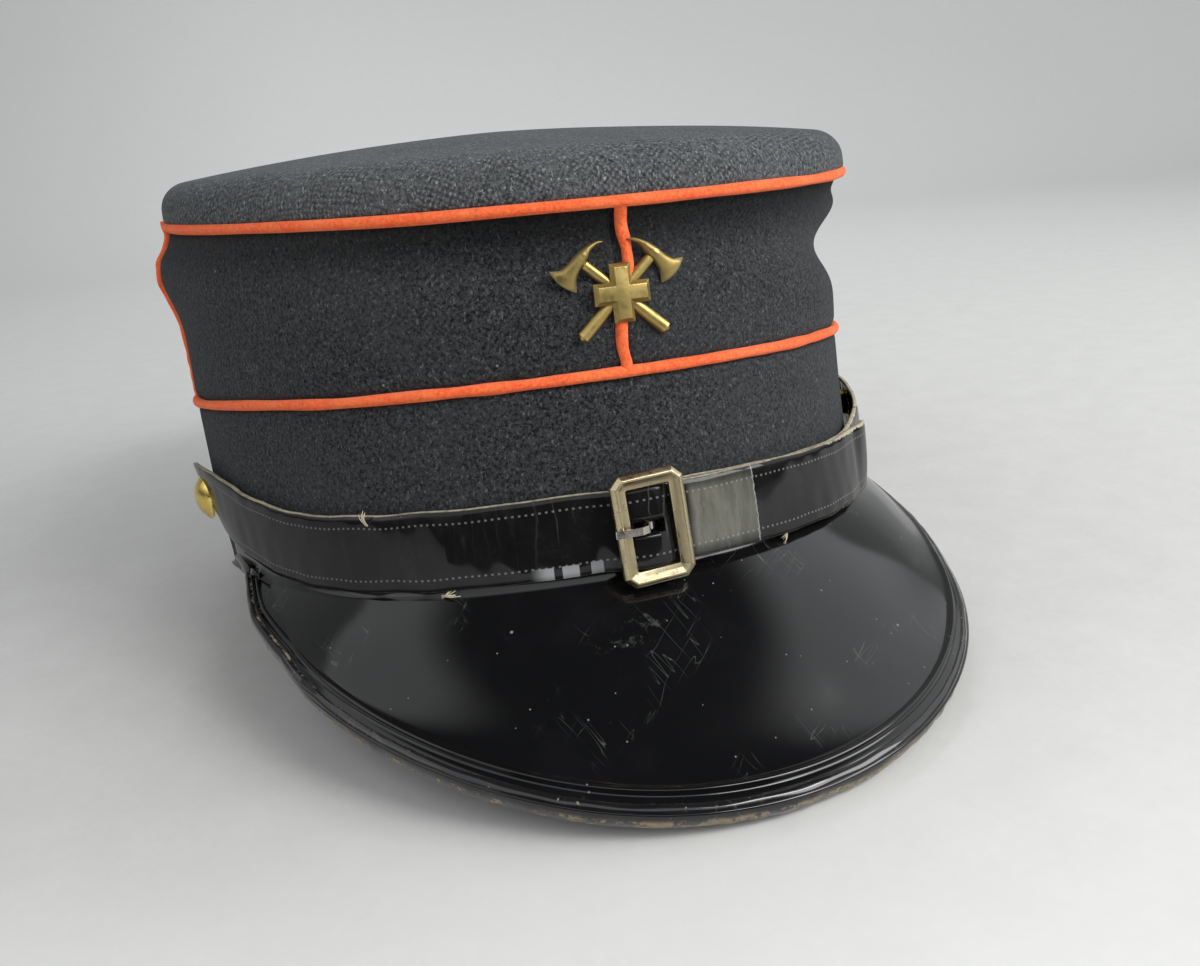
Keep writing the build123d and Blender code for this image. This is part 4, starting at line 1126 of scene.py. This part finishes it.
def peak_patent(name):
    """Black lacquered leather with dust, hairline scratches and a scuffed spot under the buckle."""
    paint = Paint(name, specular_ior_level=0.0, coat_roughness=0.11, coat_ior=1.5)
    spot = paint.place()
    specks = paint.largest(dust(paint, spot, 3.0, 0.075), dust(paint, spot, 7.5, 0.055))
    hair = paint.largest(scratches(paint, spot, 0.7, 5.0), scratches(paint, spot, 2.0, 6.0))
    hair = hair * paint.step(paint.noise(spot, 16.0, 2.0), 0.52, 0.68)
    haze = paint.noise(spot, 22.0, 4.0, 0.6)
    soil = paint.step(haze, 0.45, 0.75)
    x, y = paint.parts(spot)
    scuff_x, scuff_y = (x - SCUFF_X) / SCUFF_HALF_WIDTH, (y - SCUFF_Y) / SCUFF_HALF_LENGTH
    near = paint.step(scuff_x * scuff_x + scuff_y * scuff_y, 1.0, 0.2)
    rub = paint.noise(spot, 2.6, 5.0, 0.75)
    scuff = near * paint.step(rub, 0.52, 0.72) * 0.5
    marks = paint.smallest(specks * 0.7 + hair * 0.25 + scuff * 0.45, 1.0)
    base = paint.blend(soil * 0.4, (0.0035, 0.0036, 0.004), (0.010, 0.010, 0.011))
    paint.set("Base Color", paint.blend(marks * 0.8, base, (0.34, 0.35, 0.34)))
    paint.set("Roughness", soil * 0.10 + marks * 0.5 + 0.16)
    paint.set("Coat Weight", paint.step(marks, 0.0, 0.5, 1.0, 0.1))
    grain = paint.noise(spot, 3.5, 3.0, 0.5) * 0.6 + paint.noise(spot, 0.7, 2.0) * 0.12
    paint.set("Normal", paint.bump(grain, 0.05, 0.35))
    return paint.material


def bound_patent(name):
    """The binding: cracked lacquer over tan leather, stitched through, worn to the canvas at the rim."""
    paint = Paint(name, specular_ior_level=0.1, coat_roughness=0.08)
    spot = paint.place()
    u, v = paint.parts(paint.cloth_place())
    rim = paint.step(v, 8.0, 9.4) * paint.step(v, 14.4, 12.5)
    groove = paint.step(abs(v - 2.2), 0.85, 0.2)
    patchy = paint.noise(spot, 5.5, 4.0, 0.65)
    fine = paint.noise(spot, 1.1, 4.0, 0.7)
    more_left = paint.step(paint.part_of(spot, 0), -70.0, 60.0, 0.0, 0.10)
    rim_worn = rim * paint.step(patchy * 0.65 + fine * 0.35 + more_left, 0.50, 0.56)
    groove_worn = groove * paint.step(patchy * 0.5 + fine * 0.5, 0.5, 0.6) * 0.8
    chips = paint.step(paint.noise(spot, 2.2, 5.0, 0.7), 0.66, 0.69)
    bare = paint.smallest(rim_worn + groove_worn + chips * 0.8, 1.0)
    cracks = paint.step(paint.cells(paint.joined(u, v / 5.0), 3.2, "DISTANCE_TO_EDGE"), 0.05, 0.0)
    cracks = cracks * paint.step(paint.noise(spot, 12.0, 2.0), 0.50, 0.66)
    tan = paint.blend(fine, (0.13, 0.105, 0.075), (0.42, 0.36, 0.26))
    black = paint.blend(paint.noise(spot, 9.0, 3.0), (0.003, 0.003, 0.0035), (0.014, 0.014, 0.015))
    base = paint.blend(cracks * 0.3, black, (0.10, 0.095, 0.085))
    paint.set("Base Color", paint.blend(bare, base, tan))
    paint.set("Roughness", paint.step(patchy, 0.3, 0.7, 0.14, 0.3) + bare * 0.5)
    paint.set("Coat Weight", paint.step(bare, 0.0, 0.5, 1.0, 0.0))
    stitched = groove * paint.step(paint.wave(u, STITCH_BINDING), -0.2, 0.9)
    lumps = paint.noise(spot, 2.6, 4.0, 0.6)
    relief = lumps * 0.55 + stitched * 0.5 - cracks * 0.35 - bare * 0.35 + fine * 0.15
    paint.set("Normal", paint.bump(relief, 0.22, 0.7))
    return paint.material


def strap_patent(name):
    """The strap: lacquer with dotted lines pressed in beside both edges, crackled, with raw tan edges and
    painted highlights on facets beside the buckle.
    """
    paint = Paint(name, specular_ior_level=0.0, coat_roughness=0.07)
    spot = paint.place()
    u, v = paint.parts(paint.cloth_place())
    side = abs(v)
    half = STRAP_WIDTH / 2
    fine = paint.noise(spot, 1.0, 4.0, 0.7)
    patchy = paint.noise(spot, 6.0, 3.0, 0.6)
    raw = paint.step(side, half - 0.25, half - 0.05)
    right_end = paint.step(u, 44.0, 58.0)
    reach = paint.step(right_end, 0.0, 1.0, 0.1, 1.0)
    fray_edge = side + ((fine - 0.5) * 2.0 + (patchy - 0.5) * 2.6 + right_end * 0.5) * reach
    frayed = paint.step(fray_edge, half - 0.25, half + 0.05)
    upper = paint.step(v, 0.0, 1.0, 0.3, 1.0)
    bare = paint.largest(raw * 0.6, frayed) * upper * paint.step(fine, 0.25, 0.5, 0.5, 1.0)
    line = paint.step(abs(side - (half - STITCH_INSET)), 0.30, 0.05)
    dots = line * paint.step(paint.wave(u, STITCH_STRAP), 0.1, 0.7)
    folds = paint.joined(u + paint.noise(spot, 5.0, 2.0) * 2.2, v / 30.0)
    creases = paint.step(paint.cells(folds, 5.5, "DISTANCE_TO_EDGE"), 0.035, 0.0)
    near_buckle = paint.step(abs(u), 26.0, 12.0)
    creases = creases * paint.step(paint.noise(spot, 17.0, 2.0), 0.46, 0.62) * (near_buckle * 0.9 + 0.1)
    split = paint.step(abs(u - STRAP_SPLIT - (fine - 0.5) * 0.9), 0.22, 0.06)
    # A greyer, streaky patch towards +X from the buckle, from 8 mm out to the split, made rougher and given
    # less coat
    grey_dull_patch = paint.step(u, 7.5, 9.5) * paint.step(u, STRAP_SPLIT + 0.1, STRAP_SPLIT - 0.3)
    streaks = paint.noise(paint.joined(u * 1.3 + (fine - 0.5) * 2.0, v * 0.16), 2.2, 4.0, 0.7)
    grey_dull_patch = grey_dull_patch * paint.step(streaks, 0.3, 0.66, 0.6, 1.0) * paint.step(u, 25.0, 8.0, 0.7, 1.0)
    grey_dull_patch = grey_dull_patch * paint.step(side, half - 0.6, half - 3.4, 0.25, 1.0)
    # Painted highlights: pale flecks on the lower 2.4 mm of the strap, about 8 to 24 mm towards -X from the
    # buckle, stand in for glints off facets of the cracked lacquer
    margin = paint.step(v, 2.7 - half, 2.4 - half)
    painted_facet_glints = margin * paint.step(u, -24.0, -20.0) * paint.step(u, -7.0, -8.5)
    chance = paint.part_of(paint.cells(paint.joined(u, 0.0), 3.2, output="Color"), 0)
    painted_facet_glints = painted_facet_glints * paint.step(chance, 0.35, 0.6)
    crazed = paint.step(paint.cells(spot, 1.2, "DISTANCE_TO_EDGE"), 0.03, 0.0)
    crazed = crazed * paint.step(patchy, 0.52, 0.66)
    specks = dust(paint, spot, 5.0, 0.04)
    tan = paint.blend(fine, (0.22, 0.19, 0.13), (0.60, 0.55, 0.42))
    black = paint.blend(patchy, (0.003, 0.003, 0.003), (0.012, 0.012, 0.012))
    black = paint.blend(grey_dull_patch * 0.9, black, (0.17, 0.17, 0.14))
    black = paint.blend(painted_facet_glints * 0.7, black, (0.36, 0.37, 0.38))
    marks = paint.smallest(creases * 0.2 + crazed * 0.06 + specks * 0.6, 1.0)
    base = paint.blend(marks, black, (0.20, 0.20, 0.18))
    base = paint.blend(paint.largest(dots * 0.35, split * 0.6), base, (0.38, 0.38, 0.35))
    paint.set("Base Color", paint.blend(bare, base, tan))
    polish = paint.step(patchy, 0.3, 0.7, 0.10, 0.2)
    paint.set("Roughness", polish + bare * 0.6 + specks * 0.4 + grey_dull_patch * 0.2)
    paint.set("Coat Weight", paint.step(bare + grey_dull_patch * 0.25, 0.0, 0.5, 0.62, 0.0))
    facet = paint.cells(folds, 4.4, output="Color")
    level = paint.part_of(facet, 0) * paint.maths("SINE", u * 0.9 + paint.part_of(facet, 1) * 6.0)
    lumps = paint.noise(spot, 2.2, 3.0)
    relief = level * 0.5 - dots * 0.3 - creases * 0.4 + lumps * 0.3 + bare * fine * 0.4
    paint.set("Normal", paint.bump(relief, 0.10, 0.45))
    return paint.material


def dull_leather(name, low, high, stitch_at=None):
    """Plain leather with a fine grain, and a line of stitches this far across it."""
    paint = Paint(name, specular_ior_level=0.35)
    spot = paint.place()
    grain = paint.cells(spot, 0.9)
    pores = paint.noise(spot, 0.5, 3.0, 0.6)
    patch = paint.noise(spot, 18.0, 4.0, 0.6)
    stain = paint.step(paint.noise(spot, 40.0, 3.0), 0.45, 0.65)
    base = paint.blend(patch, low, high)
    base = paint.blend(stain * 0.4, base, tuple(c * 0.4 for c in low))
    relief = grain * 0.5 + pores * 0.4
    if stitch_at is not None:
        u, v = paint.parts(paint.cloth_place())
        stitches = paint.step(paint.wave(u, STITCH_SWEATBAND), -0.4, 0.4)
        line = paint.step(abs(v - stitch_at), 0.5, 0.2) * stitches
        base = paint.blend(line, base, (0.5, 0.44, 0.33))
        relief = relief + line * 0.8
    paint.set("Base Color", base)
    paint.set("Roughness", paint.step(pores, 0.3, 0.7, 0.45, 0.7))
    paint.set("Normal", paint.bump(relief, 0.15, 0.6))
    return paint.material


def woven_lining(name, low, high, pitch):
    """Lining or card between two colours, with a regular fine weave."""
    paint = Paint(name, roughness=0.7, sheen_weight=0.3, specular_ior_level=0.3)
    u, v = paint.parts(paint.cloth_place())
    weave = paint.wave(u, pitch) * paint.wave(v, pitch) * 0.5 + 0.5
    patch = paint.noise(paint.place(), 15.0, 3.0)
    paint.set("Base Color", paint.blend(weave * 0.5 + patch * 0.5, low, high))
    paint.set("Normal", paint.bump(weave + patch, 0.12, 0.6))
    return paint.material


def aged_brass(name, dull, bright, tarnish, rough, grime=0.5):
    """Brass that has darkened in its hollows and worn bright on its edges."""
    paint = Paint(name, specular_ior_level=0.5)
    spot = paint.place()
    edge = paint.add("NewGeometry", output="Pointiness")
    worn = paint.step(edge, 0.50, 0.58)
    hollow = paint.step(edge, 0.50, 0.44)
    cloud = paint.noise(spot, 2.8, 4.0, 0.65)
    fine = paint.noise(spot, 0.45, 3.0, 0.65)
    pits = paint.step(paint.cells(spot, 0.8), 0.16, 0.06) * paint.step(cloud, 0.5, 0.62)
    base = paint.blend(cloud, dull, bright)
    base = paint.blend(worn * 0.7, base, tuple(min(1.0, c * 1.35) for c in bright))
    grimy = paint.step(fine * 0.4 + cloud * 0.6, 0.52, 0.68) * grime
    dirt = paint.smallest(grimy + hollow * 0.8 + pits * 0.6, 1.0)
    paint.set("Base Color", paint.blend(dirt, base, tarnish))
    paint.set("Metallic", paint.step(dirt, 0.0, 1.0, 1.0, 0.55))
    paint.set("Roughness", paint.step(cloud, 0.3, 0.7, rough - 0.06, rough + 0.1) + dirt * 0.18 - worn * 0.08)
    paint.set("Normal", paint.bump(cloud * 0.4 + fine * 0.4 - pits * 0.5, 0.05, 0.6))
    return paint.material


def thread_material(name):
    """Undyed linen thread."""
    paint = Paint(name, roughness=0.85, sheen_weight=0.3)
    spot = paint.place()
    fuzz = paint.noise(spot, 0.3, 3.0, 0.7)
    paint.set("Base Color", paint.blend(fuzz, (0.42, 0.34, 0.20), (0.78, 0.70, 0.52)))
    paint.set("Normal", paint.bump(fuzz, 0.1, 0.8))
    return paint.material


# ---- The finishes
# One wool in two copies: the crown's copy is painted paler than the sides' (0.076 against 0.030), standing in
# for the light that falls on it from above
cloth_side = wool("wool_sides", 0.25, 0.030)
cloth_crown = wool("wool_crown", 0.6, 0.076)
red_felt = felt("piping_felt")
patent = peak_patent("peak_lacquer")
bound = bound_patent("binding_lacquer")
strap_lacquer = strap_patent("strap_lacquer")
cream_thread = thread_material("cream_thread")
under_leather = dull_leather("peak_underside_leather", (0.02, 0.02, 0.018), (0.05, 0.048, 0.042))
sweat_leather = dull_leather("sweatband_leather", (0.13, 0.065, 0.03), (0.30, 0.17, 0.09), stitch_at=4.0)
lining_cloth = woven_lining("glazed_lining", (0.006, 0.006, 0.007), (0.03, 0.03, 0.034), 0.8)
board_card = woven_lining("pressed_board", (0.25, 0.19, 0.12), (0.42, 0.34, 0.22), 1.6)
badge_metal = aged_brass("badge_brass", (0.30, 0.22, 0.075), (0.47, 0.36, 0.13), (0.10, 0.075, 0.03), 0.42)
buckle_metal = aged_brass("buckle_brass", (0.34, 0.27, 0.15), (0.60, 0.52, 0.34), (0.09, 0.065, 0.04), 0.30)
prong_metal = aged_brass("prong_metal", (0.20, 0.18, 0.15), (0.42, 0.39, 0.35), (0.06, 0.05, 0.04), 0.30)
button_metal = aged_brass("button_brass", (0.58, 0.40, 0.09), (0.83, 0.62, 0.19), (0.22, 0.14, 0.04), 0.20,
                          grime=0.25)

# ---- The pieces
CARD = 1.0
LINING = 0.4
CARD_DEPTH = CLOTH + 0.1     # under the cloth's face
LINING_DEPTH = CLOTH + 1.2

crown = crown_piece("crown_cloth", 0.0, CLOTH, PIPING * 0.5, 720, 70)
finish_piece(crown, "cap", "wool_cloth", cloth_crown, "crown_top_cloth")
crown_board = crown_piece("crown_board", CARD_DEPTH, CARD, 3.0, 240, 24)
finish_piece(crown_board, "cap", "stiff_board", board_card, "crown_top_board")
crown_lining = crown_piece("crown_lining", LINING_DEPTH, LINING, 2.0, 240, 24)
finish_piece(crown_lining, "cap", "black_lining", lining_cloth, "crown_top_lining")

TUCK = PIPING * 0.45         # of the cloth, behind the piping
PANELS = {"front_left": (-SIDE_SEAM, 0.0), "front_right": (0.0, SIDE_SEAM), "rear_right": (SIDE_SEAM, 180.0),
          "rear_left": (-180.0, -SIDE_SEAM)}
for place, seams in PANELS.items():
    angles = (np.linspace(*seams, 230) + 180) % 360 - 180
    high = top_height(angles) - TUCK
    panel = wall_piece(f"cloth_side_panel_{place}", angles, BAND_HEIGHT + TUCK, high, 56, seams=seams)
    finish_piece(panel, "cap", "wool_cloth", cloth_side, f"side_panel_{place}")

whole = np.linspace(-180, 180, 720, endpoint=False)
band = wall_piece("cloth_band", whole, 0.0, BAND_HEIGHT - TUCK, 52, wrap=True, dips=(False, True))
finish_piece(band, "cap", "wool_cloth", cloth_side, "band_cloth")
coarse = whole[::3]
top = top_height(coarse)
UNSEWN = {"wrap": True, "dips": (False, False)}
board = wall_piece("wall_board", coarse, 0.7, top + 2.0, 30, CARD, -CARD_DEPTH, **UNSEWN)
finish_piece(board, "cap", "stiff_board", board_card, "side_board")
lining = wall_piece("wall_lining", coarse, 0.7, top + 3.0, 30, LINING, -LINING_DEPTH, **UNSEWN)
finish_piece(lining, "cap", "black_lining", lining_cloth, "side_lining")

top_ring = ring_piping("piping_top", top_height, 51)
finish_piece(top_ring, "cap", "red_piping", red_felt, "top_piping")
low_ring = ring_piping("piping_low", lambda angles: BAND_HEIGHT, 52)
finish_piece(low_ring, "cap", "red_piping", red_felt, "lower_piping")
for number, name in enumerate(SEAM_ANGLES):
    finish_piece(upright_piping(name, 60 + number), "cap", "red_piping", red_felt, f"seam_piping_{name}")

finish_piece(peak_face(), "cap", "patent_leather", patent, "peak_leather")
core = peak_sheet("peak_stiffener", 1.1, 1.2)
finish_piece(core, "cap", "stiff_board", board_card, "peak_core")
underside = peak_sheet("peak_under_leather", 2.4, 0.6)
finish_piece(underside, "cap", "underside_leather", under_leather, "peak_underside")
finish_piece(peak_binding(), "cap", "patent_leather", bound, "peak_binding")

finish_piece(with_slot(strap_long()), "cap", "strap_leather", strap_lacquer, "chin_strap_long")
finish_piece(with_slot(strap_short()), "cap", "strap_leather", strap_lacquer, "chin_strap_short")
finish_piece(with_slot(strap_fold()), "cap", "strap_leather", strap_lacquer, "chin_strap_short")
finish_piece(sweatband_piece(), "cap", "brown_leather", sweat_leather, "sweatband")
TUFTS = [(-41, 19.0, 2.6, 2.6, 95), (24, 4.9, 2.8, 4.0, 235),
         (36, 5.4, 2.6, 3.4, 160), (-30, 3.2, 2.4, 3.0, 20)]
finish_piece(thread_tuft("tack_thread_ends", TUFTS), "cap", "thread", cream_thread, "strap_tack_threads")

finish_piece(buckle_frame_piece(), "buckle", "buckle_brass", buckle_metal, "buckle_frame")
finish_piece(axe_piece("badge_axe_left_cast", -1), "cap", "badge_brass", badge_metal, "badge_axe_left")
finish_piece(axe_piece("badge_axe_right_cast", 1), "cap", "badge_brass", badge_metal, "badge_axe_right")
finish_piece(cross_piece(), "cap", "badge_brass", badge_metal, "badge_cross")

# The metal pieces that are still seen as built
metal_of = {"badge": badge_metal, "buckle": buckle_metal, "button": button_metal}
for name, node in frame["nodes"].items():
    if node.hide_render:
        continue
    node.data.materials.clear()
    node.data.materials.append(prong_metal if name == "buckle_prong" else metal_of[name.split("_")[0]])
    for face in node.data.polygons:
        face.material_index = 0

# ---- Floor, backdrop, lights and camera
KEY_WATTS = 9.0
FILL_WATTS = 0.6
BACK_WATTS = 4.0
GLINT_WATTS = 2.6
BAND_LEVEL = 1.2             # of the bright band low round the room
ROOM_LEVEL = 0.05            # everywhere else
SEEN_LEVEL = 0.72            # where the camera sees the room itself


def stage_mesh(name, points, faces, material):
    """A mesh of the set, in metres of the row frame."""
    mesh = bpy.data.meshes.new(name)
    mesh.from_pydata(points, [], faces)
    mesh.polygons.foreach_set("use_smooth", [True] * len(faces))
    mesh.materials.append(material)
    made = bpy.data.objects.new(name, mesh)
    bpy.context.scene.collection.objects.link(made)
    return made


def backdrop():
    """A pale sheet that lies flat and sweeps up far behind the cap, with painted light and shade in its
    colour.
    """
    profile = [(-3.0, 0.0)] + [(y, 0.0) for y in np.linspace(-1.5, 1.0, 6)]
    profile += [(1.0 + 0.9 * math.sin(t), 0.9 - 0.9 * math.cos(t)) for t in np.linspace(0.1, math.pi / 2, 16)]
    profile += [(1.9, 3.0)]
    points, faces = [], []
    for y, z in profile:
        points += [(-4.0, y, z), (4.0, y, z)]
    for k in range(len(profile) - 1):
        faces.append([2 * k, 2 * k + 1, 2 * k + 3, 2 * k + 2])
    paint = Paint("pale_paper", roughness=0.8, specular_ior_level=0.25)
    spot = paint.place()
    x, y = paint.parts(spot)
    mottle = paint.noise(spot, 3.0, 5.0, 0.7) * 0.5 + paint.noise(spot, 14.0, 3.0) * 0.5
    # Painted light and shade: the sheet is paler up the sweep, paler on the floor in front of the cap (most
    # at the left, against the cap's shade there), and darker towards the left
    rise = paint.step(y, 200.0, 1500.0)
    near = paint.step(y, -60.0, -200.0) * paint.step(x, 160.0, -200.0, 0.2, 0.9)
    left = paint.step(x, 100.0, -600.0)
    floor = paint.blend(mottle, (0.50, 0.50, 0.485), (0.64, 0.64, 0.625))
    floor = paint.blend(near, floor, (0.90, 0.90, 0.88))
    upright = paint.blend(mottle, (0.64, 0.64, 0.635), (0.70, 0.70, 0.695))
    sheet = paint.blend(rise, floor, upright)
    paint.set("Base Color", paint.blend(left * 0.5, sheet, (0.40, 0.405, 0.40)))
    paint.set("Normal", paint.bump(mottle, 0.3, 0.4))
    stage_mesh("backdrop", points, faces, paint.material)


def softbox(name, direction, distance, size, watts, tint=(1.0, 1.0, 1.0)):
    """An oblong lamp in this direction from the origin, facing it."""
    lamp = bpy.data.lights.new(name, "AREA")
    lamp.shape = "RECTANGLE"
    lamp.size, lamp.size_y = size
    lamp.energy = watts
    lamp.color = tint
    made = bpy.data.objects.new(name, lamp)
    toward = Vector(direction).normalized()
    made.location = toward * distance
    made.rotation_mode = "QUATERNION"
    made.rotation_quaternion = toward.to_track_quat("Z", "Y")
    bpy.context.scene.collection.objects.link(made)
    return made


class Room(Paint):
    """The light all round: a bright band at the sides that fades out overhead, and pale where it is seen."""

    def __init__(self, name):
        self.world = bpy.data.worlds.new(name)
        self.world.use_nodes = True
        self.tree = self.world.node_tree
        self.tree.nodes.clear()
        self.shader = self.tree.nodes.new("ShaderNodeBackground")
        output = self.tree.nodes.new("ShaderNodeOutputWorld")
        self.tree.links.new(self.shader.outputs[0], output.inputs[0])


def black_flag():
    """A dark card behind the camera, which the strap and the peak mirror."""
    points = [(-0.34, -0.36, 0.0), (0.14, -0.40, 0.0), (0.14, -0.40, 0.19), (-0.34, -0.36, 0.19)]
    card = Paint("black_card", base_color=(0.01, 0.01, 0.01, 1.0), roughness=1.0).material
    made = stage_mesh("black_flag", points, [[0, 1, 2, 3]], card)
    made.visible_camera = made.visible_diffuse = made.visible_shadow = False


backdrop()
black_flag()
softbox("key_right_front", (0.70, -0.62, 0.62), 1.3, (0.8, 0.6), KEY_WATTS)
softbox("fill_left", (-0.95, -0.15, 0.55), 1.4, (0.7, 0.5), FILL_WATTS)
back_lamp = softbox("back_high", (0.2, 0.59, 0.77), 1.4, (0.7, 0.25), BACK_WATTS, (0.93, 0.97, 1.0))
back_lamp.visible_glossy = False
softbox("front_glint", (0.36, -0.58, 0.73), 1.1, (0.42, 0.16), GLINT_WATTS)

room = Room("room")
bpy.context.scene.world = room.world
toward = room.add("TexCoord")
upward = room.part_of(toward, 2)
overhead = room.add("VectorMath", {"operation": "DOT_PRODUCT"}, {0: toward, 1: (0.10, 0.05, 0.993)}, 1)
band_of_light = room.step(upward, 0.0, 0.45) * room.step(overhead, 0.90, 0.79)
band_of_light = band_of_light * room.step(room.part_of(toward, 0), -0.9, 0.1, 0.72, 1.0)
seen = room.add("LightPath")
room.set("Color", (0.97, 0.985, 1.0))
room.set("Strength", seen * SEEN_LEVEL + (1 - seen) * (band_of_light * BAND_LEVEL + ROOM_LEVEL))

# Where the camera stands and how it is turned, in the cap's frame
CAMERA_STAND = (-60.88, -297.01, 60.25)
CAMERA_RIGHT = Vector((0.95206, -0.28373, -0.11434))
CAMERA_AHEAD = Vector((0.25997, 0.94745, -0.18641))
camera_data = bpy.data.cameras.new("camera")
camera_data.sensor_width = 36.0
camera_data.lens = 30.864
camera_data.clip_start = 0.01
camera = bpy.data.objects.new("camera", camera_data)
bpy.context.scene.collection.objects.link(camera)
turn = Matrix((ACROSS, BACK, UP)).transposed()
ahead = (turn @ CAMERA_AHEAD).normalized()
right = (turn @ CAMERA_RIGHT).normalized()
above = right.cross(ahead).normalized()
camera.rotation_mode = "QUATERNION"
camera.rotation_quaternion = Matrix((right, above, -ahead)).transposed().to_quaternion()
camera.location = Vector(to_row(CAMERA_STAND))
bpy.context.scene.camera = camera
bpy.context.scene.view_settings.view_transform = "Standard"
